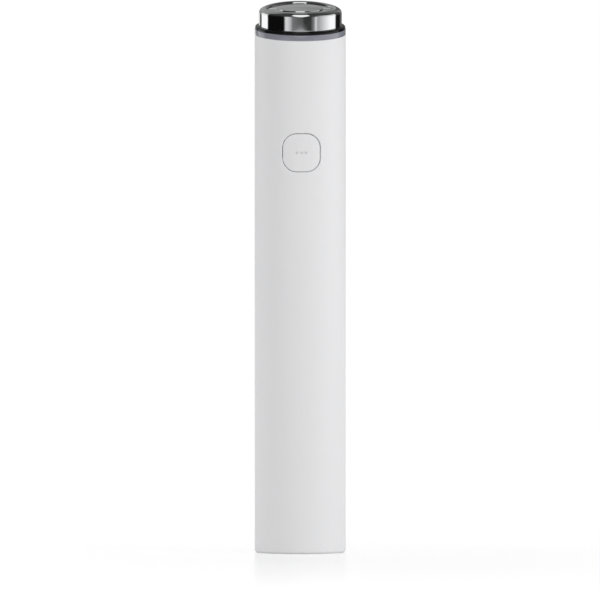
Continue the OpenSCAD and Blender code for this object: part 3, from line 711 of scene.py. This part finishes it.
button = softened("button_cap", 0.22)
guide = softened("button_light_guide", 0.03)
base = softened("bottom_cap", 0.15)
socket_shell = softened("usb_shell", 0.06)

# %% [markdown]
# The black insulator under the cap shows in the troughs as their border. Its own form is
# right, but the cap above it was arched. So a copy is taken off the head, lowered in the same
# way and put back.

# %% The black insulator
INSULATOR_SINK = 0.1
insulator = merged_copy("electrode_insulator")
activate(insulator)
insulator.rotation_euler = (-LEAN, 0, 0)
insulator.location = Euler((-LEAN, 0, 0)).to_matrix() @ -head_point(0)
bpy.ops.object.transform_apply(location=True, rotation=True, scale=True)
arch_over(insulator, INSULATOR_SINK)
close_piece(insulator)
put_on_head(insulator)

# %% [markdown]
# The frame moves bodies, not single pieces. So each new piece is told which body it rides on,
# which finish it wears and which node it takes the place of. The button and its light guide
# ride on the button's body, and all the others on the housing.

# %% Put each new piece on its body
stand_in(sleeve, "housing", "shell_white", "body_shell")
stand_in(ring, "housing", "ring_lens", "light_ring")
stand_in(collar, "housing", "collar_black", "head_collar")
stand_in(cap, "housing", "electrode_chrome", "electrode_cap")
stand_in(button, "button", "shell_white", "button_cap")
stand_in(guide, "button", "dot_lens", "button_light_guide")
stand_in(contacts, "housing", "electrode_chrome", "electrode_inlays")
stand_in(insulator, "housing", "insulator_black", "electrode_insulator")
stand_in(base, "housing", "shell_white", "bottom_cap")
stand_in(socket_shell, "housing", "plated_steel", "usb_shell")
new_pieces = (sleeve, ring, collar, cap, button, guide, contacts, insulator, base,
              socket_shell)
print(len(new_pieces), "new pieces")

# %% [markdown]
# ## Finishes
# A finish is a Principled shader fed by a few textures in Object coordinates, which are the
# same metres for every piece. Wire wraps an output socket so that shader sums can be written
# as Python: an expression adds its Math nodes. Any other node comes from Graph.node.

# %% Wire
class Wire:
    """An output socket of a node graph. Arithmetic on it adds Math nodes."""

    def __init__(self, graph, socket):
        self.graph, self.socket = graph, socket

    def math(self, operation, *values):
        return self.graph.node("Math", {"operation": operation}, dict(enumerate(values)))

    def __add__(self, other):
        return self.math("ADD", self, other)

    def __sub__(self, other):
        return self.math("SUBTRACT", self, other)

    def __rsub__(self, other):
        return self.math("SUBTRACT", other, self)

    def __mul__(self, other):
        return self.math("MULTIPLY", self, other)

    def __truediv__(self, other):
        return self.math("DIVIDE", self, other)

    def __rtruediv__(self, other):
        return self.math("DIVIDE", other, self)

    def __gt__(self, other):
        return self.math("GREATER_THAN", self, other)

    def __lt__(self, other):
        return self.math("LESS_THAN", self, other)

    __radd__, __rmul__ = __add__, __mul__

    def between(self, low, high, edge):
        """1 from low to high and 0 outside, with soft edges of that width."""
        rise = self.graph.node("MapRange", {"interpolation_type": "SMOOTHSTEP"}, {
            0: self, 1: low - edge / 2, 2: low + edge / 2})
        fall = self.graph.node("MapRange", {"interpolation_type": "SMOOTHSTEP"}, {
            0: self, 1: high - edge / 2, 2: high + edge / 2})
        return rise - fall


# %% Graph
class Graph:
    """A node tree to which nodes are added one by one."""

    def __init__(self, tree):
        self.tree = tree

    def node(self, kind, settings, inputs, output=0):
        """Adds a node: its settings first, then the values or links of its sockets."""
        made = self.tree.nodes.new("ShaderNode" + kind)
        for key, value in settings.items():
            if key == "stops":
                elements = made.color_ramp.elements
                while len(elements) < len(value):
                    elements.new(1)
                for stop, (at, grey) in zip(elements, value):
                    stop.position, stop.color = at, colour(grey)
            else:
                setattr(made, key, value)
        for key, value in inputs.items():
            if isinstance(value, Wire):
                self.tree.links.new(value.socket, made.inputs[key])
            else:
                made.inputs[key].default_value = value
        return Wire(self, made.outputs[output]) if made.outputs else None

    def out(self, wire, kind="OutputMaterial"):
        self.node(kind, {}, {"Surface": wire})

    def seen_directly(self):
        """1 for the camera's rays and for those reflected or let through, else 0."""
        rays = self.node("LightPath", {}, {}).socket.node.outputs
        camera, glossy, through = (Wire(self, rays[f"Is {kind} Ray"])
                                   for kind in ("Camera", "Glossy", "Transmission"))
        return camera.math("MAXIMUM", camera, glossy.math("MAXIMUM", glossy, through))

    def place(self):
        """The place on the object, in metres."""
        return self.node("TexCoord", {}, {}, "Object")

    def axes(self):
        """X, Y and Z in millimetres."""
        split = self.node("SeparateXYZ", {}, {"Vector": self.place()})
        return [Wire(self, out) * 1000.0 for out in split.socket.node.outputs]

    def noise(self, size, detail=3.0, stretch=(1, 1, 1)):
        """Noise of about 0 to 1 whose blobs are size millimetres across."""
        at = self.node("Mapping", {}, {"Vector": self.place(), "Scale": Vector(stretch)})
        return self.node("TexNoise", {}, {"Vector": at, "Scale": 1 / (size * MM),
                                          "Detail": detail})

    def blend(self, amount, low, high):
        """A colour between two others."""
        low, high = (c if isinstance(c, Wire) else colour(c) for c in (low, high))
        return self.node("Mix", {"data_type": "RGBA"}, {0: amount, 6: low, 7: high}, 2)


# %% Finish
class Finish(Graph):
    """A material with one Principled shader, whose constants are set on its own sockets."""

    def __init__(self, name, **constants):
        self.material = bpy.data.materials.new(name)
        self.material.use_nodes = True
        super().__init__(self.material.node_tree)
        self.shader = self.tree.nodes["Principled BSDF"]
        for key, value in constants.items():
            self.shader.inputs[socket_name(key)].default_value = value

    def feed(self, **links):
        """Links varying values into the shader."""
        for key, wire in links.items():
            self.tree.links.new(wire.socket, self.shader.inputs[socket_name(key)])
        return self

    def bump(self, height, strength, depth):
        """A surface relief; depth is in millimetres."""
        return self.node("Bump", {}, {"Height": height, "Strength": strength,
                                      "Distance": depth * MM})


def socket_name(key):
    """base_color -> Base Color, and specular_ior_level -> Specular IOR Level."""
    return key.replace("_", " ").title().replace("Ior", "IOR")


def colour(value):
    """RGBA from a grey or from three numbers."""
    rgb = (value,) * 3 if isinstance(value, (int, float)) else tuple(value)[:3]
    return (*rgb, 1.0)


def dress(obj, finish):
    """Gives the object this finish alone."""
    obj.data.materials.clear()
    obj.data.materials.append(finish.material)


# %% [markdown]
# Moulded plastic is never one flat colour: its mould leaves a fine grain, the melt leaves
# faint clouds, and handling changes its gloss. One function makes this family, and it can lay
# other colours over the surface where a mask says so.

# %% Moulded plastics and rubbers
CLOUD, SMEAR, RELIEF_DEPTH = 9, 3.5, 0.02
SMEAR_GLOSS, GRAIN_GLOSS = 0.08, 0.06


def moulded(name, base, gloss, grain=0.09, relief=0.35, clouds=0.02, over=(), **constants):
    """A moulded finish. over lists (mask of x, y, z in mm, its colour, how metallic)."""
    finish = Finish(name, **constants)
    cloud = finish.noise(CLOUD, 2.0)
    fine = finish.noise(grain, 2.0)
    darker = [c * (1 - clouds) for c in base]
    lighter = [min(1, c * (1 + clouds)) for c in base]
    surface = finish.blend(cloud, darker, lighter)
    for mask, rgb, metallic in over:
        there = mask(*finish.axes())
        surface = finish.blend(there, surface, rgb)
        if metallic:
            finish.feed(metallic=there * metallic)
    return finish.feed(
        base_color=surface,
        roughness=(gloss + SMEAR_GLOSS * (finish.noise(SMEAR) - 0.5)
                   + GRAIN_GLOSS * (fine - 0.5)),
        normal=finish.bump(fine, relief, RELIEF_DEPTH))


finishes = {
    "shell_white": moulded("matt white shell", (0.80, 0.80, 0.81), 0.55, 0.10, 0.25, 0.008),
    "dot_lens": moulded("milky light guide", (0.72, 0.73, 0.75), 0.35, 0.15, 0.1, 0.02,
                        transmission_weight=0.2),
    "ring_lens": moulded("smoky light ring", (0.235, 0.24, 0.28), 0.2, 0.2, 0.08, 0.03,
                         coat_weight=0.5),
    "collar_black": moulded("gloss black collar", (0.006, 0.006, 0.007), 0.1, 0.3, 0.02,
                            0.1, specular_ior_level=0.25),
    "insulator_black": moulded("black insulator", (0.015, 0.015, 0.017), 0.3, 0.12, 0.2,
                               0.1),
    "chassis_grey": moulded("grey chassis", (0.30, 0.31, 0.32), 0.5, 0.12, 0.5, 0.04),
    "carrier_frost": moulded("frosted carrier", (0.72, 0.74, 0.76), 0.42, 0.15, 0.3, 0.02,
                             transmission_weight=0.3),
    "seal_rubber": moulded("seal rubber", (0.035, 0.035, 0.038), 0.7, 0.06, 0.6, 0.1),
    "plug_white": moulded("nylon plug", (0.72, 0.70, 0.64), 0.45, 0.1, 0.4, 0.03),
    "chip_black": moulded("black moulding", (0.03, 0.03, 0.032), 0.5, 0.05, 0.6, 0.1),
    "foam_grey": moulded("closed cell foam", (0.12, 0.12, 0.13), 0.85, 0.25, 1.0, 0.2),
    "led_resin": moulded("phosphor resin", (0.75, 0.68, 0.35), 0.25, 0.1, 0.2, 0.05),
}
print(len(finishes), "moulded finishes")

# %% [markdown]
# Metals differ in how they were worked: polished chrome shows faint hairlines and haze, plated
# steel is drawn along its length, magnets are grainy.

# %% Metals
HAZE, HAIRLINE_DEPTH = 4, 0.01
HAZE_SHARE, LINE_SHARE = 0.6, 0.4


def metal(name, base, gloss, brush=(1, 1, 1), size=0.3, relief=0.05, spread=0.06):
    """A worked metal; brush stretches its hairlines along an axis."""
    finish = Finish(name, metallic=1.0)
    lines = finish.noise(size, 3.0, brush)
    haze = finish.noise(HAZE)
    return finish.feed(
        base_color=finish.blend(haze, [c * (1 - spread) for c in base], base),
        roughness=gloss + spread * HAZE_SHARE * haze + spread * LINE_SHARE * lines,
        normal=finish.bump(lines, relief, HAIRLINE_DEPTH))


finishes["electrode_chrome"] = metal("polished chrome", (0.86, 0.87, 0.88), 0.03,
                                     (1, 1, 1), 0.5, 0.006, 0.03)
finishes["plated_steel"] = metal("plated steel", (0.66, 0.67, 0.68), 0.2, (1, 1, 0.1))
finishes["cell_can"] = metal("nickel cell can", (0.6, 0.6, 0.58), 0.28, (1, 1, 0.05))
finishes["magnet_grey"] = metal("magnet", (0.3, 0.3, 0.31), 0.4, (1, 1, 1), 0.15, 0.3)
finishes["bush_brass"] = metal("brass", (0.75, 0.55, 0.25), 0.25, (1, 1, 0.2))
finishes["winding_copper"] = metal("enamelled copper", (0.7, 0.33, 0.16), 0.25,
                                   (0.1, 0.1, 1))
print(len(finishes), "finishes")

# %% [markdown]
# A circuit board is green lacquer over copper. A brick pattern gives the tracks that show
# through the lacquer, and the middles of Voronoi cells give the gilt vias.

# %% Boards
LACQUER, TRACK, VIA = (0.008, 0.07, 0.03), (0.02, 0.14, 0.06), (0.6, 0.45, 0.2)
VIA_R = 0.12


def board():
    """Green lacquer with tracks and vias."""
    finish = Finish("solder mask", coat_weight=0.2)
    place = finish.place()
    tracks = finish.node("TexBrick", {"offset": 0.5}, {
        "Vector": place, "Scale": 900.0, "Color1": colour(1), "Color2": colour(1),
        "Mortar": colour(0), "Mortar Size": 0.06, "Brick Width": 1.6,
        "Row Height": 0.45}, 1)
    vias = finish.node("TexVoronoi", {}, {"Vector": place, "Scale": 520.0}) < VIA_R
    mask = finish.blend(tracks, LACQUER, TRACK)
    return finish.feed(base_color=finish.blend(vias, mask, VIA),
                       metallic=vias * 0.9, roughness=0.3 + 0.2 * finish.noise(2),
                       normal=finish.bump(tracks, 0.4, 0.03))


finishes["board_green"] = board()
print("board:", len(finishes["board_green"].tree.nodes), "nodes")

# %% [markdown]
# Small parts are told apart by their details: chips have a dot at pin 1 and tinned legs along
# their foot, capacitors have tinned ends, the coil shows its winding, the tongue of the socket
# carries two rows of gilt contacts, and the leads of a pair differ in colour.

# %% Where the details lie
TIN, GILT, COPPER = (0.62, 0.62, 0.6), (0.8, 0.58, 0.22), (0.62, 0.27, 0.12)
BOARD_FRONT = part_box("board_chips")[1][1] / MM
# Width and middle height of each chip, and foot and top of each pair of capacitors
CHIPS = [(4, 25.5), (6, 51.5), (5, 75.5)]
CAPACITORS = [(32.5, 34.9), (60.5, 62.9), (83.5, 85.9)]
PIN_PITCH, STRIPE_CUT, LEG_H, DOT_R, DOT_IN = 0.5, 0.2, 0.28, 0.28, 0.8
TIN_W = 0.45
COIL_Z, COIL_RECESS_R, COIL_RECESS_Y, COIL_WIRE = 82.5, 1.9, -1.7, 0.24
GILT_HALF_W, GILT_HALF_H, GILT_TOP = 2.95, 0.4, 6.2
SLEEVE_LOW, SLEEVE_HIGH = 19.9, 68.1
RIGHT_FROM = 0.5
print("chips stand on y", round(BOARD_FRONT, 2), "mm")


# %% Masks of the details
# A mask is 1 on its detail and 0 elsewhere; x, y and z are in mm
def rows_of(x, pitch):
    """Stripes across x, a little under half of the pitch wide."""
    return x.math("SINE", x * (2 * math.pi / pitch)) > STRIPE_CUT


def distance(a, b):
    """Distance from a = b = 0."""
    return a.math("SQRT", a * a + b * b)


def legs(x, y, z):
    pins = x.math("MAXIMUM", rows_of(x, PIN_PITCH), rows_of(z, PIN_PITCH))
    return pins * (y > BOARD_FRONT - LEG_H)


def pin_dots(x, y, z):
    corners = [(w / 2 - DOT_IN, middle_z + w / 2 - DOT_IN) for w, middle_z in CHIPS]
    return sum(distance(x + left, z - top) < DOT_R for left, top in corners)


def tinned_ends(x, y, z):
    return sum((z > foot - ROUGHLY) * (z < foot + TIN_W)
               + (z > top - TIN_W) * (z < top + ROUGHLY) for foot, top in CAPACITORS)


def winding(x, y, z):
    r = distance(x, z - COIL_Z)
    return (r < COIL_RECESS_R) * (y > COIL_RECESS_Y) * rows_of(r, COIL_WIRE)


def contact_rows(x, y, z):
    on_tongue = (x < GILT_HALF_W) * (x > -GILT_HALF_W) * (y < GILT_HALF_H)
    return rows_of(x, PIN_PITCH) * on_tongue * (y > -GILT_HALF_H) * (z < GILT_TOP)


def folded_ends(x, y, z):
    return (z > SLEEVE_HIGH) + (z < SLEEVE_LOW)


def right_lead(x, y, z):
    return x > RIGHT_FROM


# %% Finishes with details
DOT_GREY, FOLD_BLUE = (0.35, 0.35, 0.36), (0.015, 0.07, 0.22)
finishes["board_chips"] = moulded("chip moulding", (0.03, 0.03, 0.032), 0.5, 0.05, 0.6, 0.1,
                                  [(pin_dots, DOT_GREY, 0), (legs, TIN, 0.9)])
finishes["capacitor_tan"] = moulded("ceramic", (0.45, 0.33, 0.2), 0.4, 0.08, 0.3, 0.06,
                                    [(tinned_ends, TIN, 0.9)])
finishes["step_up_coil"] = moulded("ferrite coil", (0.06, 0.06, 0.063), 0.6, 0.1, 0.8, 0.1,
                                   [(winding, COPPER, 0.8)])
finishes["usb_tongue"] = moulded("tongue moulding", (0.025, 0.025, 0.027), 0.4, 0.06, 0.4,
                                 0.1, [(contact_rows, GILT, 0.95)])
finishes["sleeve_blue"] = moulded("shrink sleeve", (0.03, 0.14, 0.42), 0.3, 0.6, 0.3, 0.06,
                                  [(folded_ends, FOLD_BLUE, 0)])
RED, BLACK, BLUE = (0.5, 0.03, 0.02), (0.02, 0.02, 0.02), (0.02, 0.07, 0.4)
YELLOW, WHITE = (0.6, 0.4, 0.03), (0.7, 0.7, 0.68)
for slot, left_rgb, right_rgb in (("lead_red", BLACK, RED), ("lead_black", BLACK, RED),
                                  ("lead_blue", BLUE, RED), ("lead_yellow", YELLOW, WHITE)):
    finishes[slot] = moulded(slot, left_rgb, 0.4, 0.2, 0.2, 0.08,
                             [(right_lead, right_rgb, 0)])
print(len(finishes), "finishes in all")

# %% [markdown]
# Nodes that keep their own mesh get the finish of their slot, or the one made for them alone.
# The new pieces get the finish of the slot that they were given.

# %% Give every node and piece its finish
for part in frame["record"]["subparts"]:
    slot = part["node"] if part["node"] in finishes else part["material_slot"]
    dress(frame["nodes"][part["node"]], finishes[slot])
for piece in new_pieces:
    dress(piece, finishes[piece["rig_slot"]])

# %% [markdown]
# ## Studio
# The floor and the background are plain white to the camera and in reflections. The floor also
# mirrors the grip softly near its foot and at a grazing angle, and its matt part takes the
# shadow.

# %% World
AMBIENT = 0.67
scene = bpy.context.scene
scene.view_settings.view_transform = "Standard"
world = bpy.data.worlds.new("studio")
world.use_nodes = True
scene.world = world
sky = Graph(world.node_tree)
world.node_tree.nodes.clear()
glow = sky.node("Background", {}, {
    "Strength": sky.seen_directly() * (1 - AMBIENT) + AMBIENT, "Color": colour(1)})
sky.out(glow, "OutputWorld")
print("ambient light:", AMBIENT)

# %% Floor
FLOOR_GLOW, FLOOR_GREY, PAPER_WHITE = 0.78, 0.35, 0.9
# The mirror fades out between two distances from the axis, and towards a steep view
MIRROR_FROM, MIRROR_TO, MIRROR_SHARE, MIRROR_POWER = 60, 345, 0.61, 8.0
MIRROR_ROUGHNESS = 0.2


def stage_material(name):
    """An empty material and its graph."""
    material = bpy.data.materials.new(name)
    material.use_nodes = True
    material.node_tree.nodes.clear()
    return material, Graph(material.node_tree)


deselect()
bpy.ops.mesh.primitive_plane_add(size=8, location=(0, 0, 0))
floor = name_it("floor")
floor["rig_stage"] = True
paper, graph = stage_material("floor")
matt = graph.node("BsdfDiffuse", {}, {"Color": colour(PAPER_WHITE)})
dim = graph.node("BsdfDiffuse", {}, {"Color": colour(FLOOR_GREY)})
bright = graph.node("Emission", {}, {"Color": colour(1), "Strength": FLOOR_GLOW})
sheen = graph.node("BsdfGlossy", {}, {"Roughness": MIRROR_ROUGHNESS,
                                   "Color": colour(1)})
lit = graph.node("AddShader", {}, {0: dim, 1: bright})
x, y, _ = graph.axes()
fading = graph.node("MapRange", {}, {0: distance(x, y), 1: MIRROR_FROM, 2: MIRROR_TO,
                                     3: MIRROR_SHARE, 4: 0})
grazing = graph.node("LayerWeight", {}, {"Blend": 0.5}, "Facing")
mirror = fading * grazing.math("POWER", grazing, MIRROR_POWER)
shown = graph.node("MixShader", {}, {0: mirror, 1: lit, 2: sheen})
graph.out(graph.node("MixShader", {}, {0: graph.seen_directly(), 1: matt, 2: shown}))
floor.data.materials.append(paper)
print("floor mirrors up to", MIRROR_TO, "mm from the axis")

# %% [markdown]
# Two large soft lamps light the matt grip from its sides, and the right one is stronger, which
# rounds the grip without a hard edge. Reflections don't show them, because the chrome has a
# tent of its own.

# %% Lamps
AIM = Vector((0, 0, 0.08))
LAMP_AWAY = 0.9


def lamp(name, angle, height, size, power):
    """A soft rectangular lamp; angle is from the front towards +X, in degrees."""
    data = bpy.data.lights.new(name, "AREA")
    data.shape = "RECTANGLE"
    data.size, data.size_y = size
    data.energy = power
    obj = bpy.data.objects.new(name, data)
    a = math.radians(angle)
    obj.location = (LAMP_AWAY * math.sin(a), -LAMP_AWAY * math.cos(a), height)
    obj.rotation_mode = "QUATERNION"
    obj.rotation_quaternion = (AIM - obj.location).to_track_quat("-Z", "Y")
    obj.visible_glossy = False
    scene.collection.objects.link(obj)
    print(name, "lamp:", power, "W")


lamp("key", angle=55, height=0.24, size=(0.5, 0.9), power=3.6)
lamp("fill", angle=-80, height=0.3, size=(0.4, 0.9), power=1.5)

# %% [markdown]
# Chrome is only as good as what it reflects, so a small tent hangs round the head, seen by
# reflections alone: dark cloth with bright strips at the height of the cap's side, a soft box
# at the front and a grey sheet behind, which the flat face shows. It ends above the floor, so
# the floor's own reflections stay white.

# %% The tent's form
TENT_R = 250
TENT_CENTRE = 147
TENT_FOOT = 66
deselect()
bpy.ops.mesh.primitive_uv_sphere_add(segments=96, ring_count=48, radius=TENT_R * MM,
                                     location=(0, 0, TENT_CENTRE * MM))
tent = name_it("tent")
edit(tent)
bpy.ops.mesh.select_all(action="SELECT")
bpy.ops.mesh.bisect(plane_co=(0, 0, TENT_FOOT * MM), plane_no=(0, 0, 1), clear_inner=True)
deselect()
tent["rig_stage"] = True
tent.visible_camera = tent.visible_diffuse = tent.visible_shadow = False
tent.visible_transmission = tent.visible_volume_scatter = False
print("tent:", len(tent.data.polygons), "faces")

# %% [markdown]
# The cloth's brightness is a sum of soft-edged zones. Directions are counted in degrees from
# the tent's centre: azimuth from the front towards +X, and elevation from level upwards. A
# zone is given by its two ends and the width of its soft edges. It is 1 inside and 0 outside,
# and is multiplied by its own brightness.

# %% Directions and strips of the cloth
SIDE_TOP, HIGH_TOP = 3, 24
# Azimuth and brightness there
SIDE_STRIPS = [(-180, 0.6), (-152, 0.85), (-149, 0.06), (-137, 0.04), (-134.5, 1.1),
               (-105, 1.1), (-102, 0.004), (-48, 0.004), (-45.5, 0.25), (-43, 0.72),
               (-37, 0.72), (-29, 0.5), (-23, 0.19), (-8, 0.12), (2, 0.1), (11, 0.03),
               (28, 0.04), (33, 0.15), (38, 0.27), (41, 0.66), (45, 0.66), (47, 0.4),
               (52, 0.42), (90, 1.1), (109, 1.1), (115, 0.008), (138, 0.008), (150, 0.15)]
HIGH_STRIPS = [(-180, 0.15), (-140, 0.3), (-132, 0.9), (-106, 0.9), (-100, 0.012),
               (-60, 0.012), (-40, 0.05), (40, 0.05), (60, 0.5), (110, 0.9), (114, 0.04),
               (160, 0.1)]
cloth, graph = stage_material("tent")
x, y, z = graph.axes()
azimuth = x.math("ARCTAN2", x, 0 - y) * (180 / math.pi)
elevation = z.math("ARCTAN2", z - TENT_CENTRE, distance(x, y)) * (180 / math.pi)
around = (azimuth + 180) / 360.0


def strips(table):
    """Brightness round the tent from a table of azimuths and greys."""
    stops = [((degrees + 180) / 360, grey) for degrees, grey in table]
    return graph.node("ValToRGB", {"stops": stops}, {0: around})


side = elevation.between(-90, SIDE_TOP, 4)
high = elevation.between(SIDE_TOP, HIGH_TOP, 6)
roof = (1 - side) * (1 - high)
print("strips:", len(SIDE_STRIPS), "at the side,", len(HIGH_STRIPS), "above")

# %% Roof, soft box and rear sheet
ROOF_LEVEL, GLOW_LEVEL, SPOT_LEVEL = 0.05, 0.06, 0.2
REAR_STRIP_LEVEL = 0.32
BOX_HALF_W, BOX_DIP, BOX_TOP, BOX_CURVE = 27, 1, 62, 32 / 26 ** 2
backward, sideways = y / TENT_R, x / TENT_R
overhead = ROOF_LEVEL + GLOW_LEVEL * backward.between(0.45, 2, 0.4)
spot = SPOT_LEVEL * backward.between(0.2, 0.8, 0.25) * sideways.between(-0.1, 0.1, 0.1)
flank = azimuth.between(-165, -115, 20) + 0.1 * azimuth.between(115, 165, 20)
overhead = overhead + spot + SPOT_LEVEL * flank * elevation.between(20, 60, 15)

box_foot = azimuth * azimuth * BOX_CURVE - BOX_DIP
front_box = (elevation - box_foot).between(0, 300, 4) * elevation.between(-90, BOX_TOP, 5)
front_box = front_box * azimuth.between(-BOX_HALF_W, BOX_HALF_W, 3)

behind = 1 - azimuth.between(-150, 150, 20)
rear_sheet = behind * elevation.between(4, 25, 5)
rear_strip = behind * elevation.between(27, 34, 3)
rear_strip = rear_strip * (1 - 0.8 * azimuth.between(140, 174, 8))
streak = graph.noise(14, 3.0, (0.3, 0.3, 1.6)) * 0.4 + 0.12
right_fold = 1 - 0.65 * azimuth.between(160, 174.5, 3)
print("soft box:", 2 * BOX_HALF_W, "degrees wide, up to", BOX_TOP)

# %% [markdown]
# The zones are added up, the soft box lies over them, and a lighter hem ends the cloth. From
# outside the tent is clear, so reflections that start behind it pass through.

# %% The tent's cloth
HEM, HEM_LEVEL = 77.5, 0.45
level = overhead * roof * (1 - rear_strip) + REAR_STRIP_LEVEL * rear_strip
level = level + strips(SIDE_STRIPS) * side
level = level + strips(HIGH_STRIPS) * high * (1 - rear_sheet)
level = level + rear_sheet * streak * right_fold
level = level.math("MAXIMUM", level, front_box)
hem = z < HEM
level = level * (1 - hem) + HEM_LEVEL * hem
glow = graph.node("Emission", {}, {"Strength": level, "Color": colour(1)})
clear = graph.node("BsdfTransparent", {}, {})
seen_outside = graph.node("NewGeometry", {}, {}, "Backfacing")
graph.out(graph.node("MixShader", {}, {0: seen_outside, 1: clear, 2: glow}))
tent.data.materials.append(cloth)
print("cloth:", len(cloth.node_tree.nodes), "nodes")

# %% [markdown]
# The box of the finished model is measured again and compared with that of the frame, which the
# new pieces have to stay within.

# %% Compare the two boxes and finish
TOLERANCE = 1e-5
bpy.context.view_layer.update()
low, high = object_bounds()
print("visual box within CAD box:",
      all(low[i] > cad_low[i] - TOLERANCE and high[i] < cad_high[i] + TOLERANCE
          for i in range(3)))
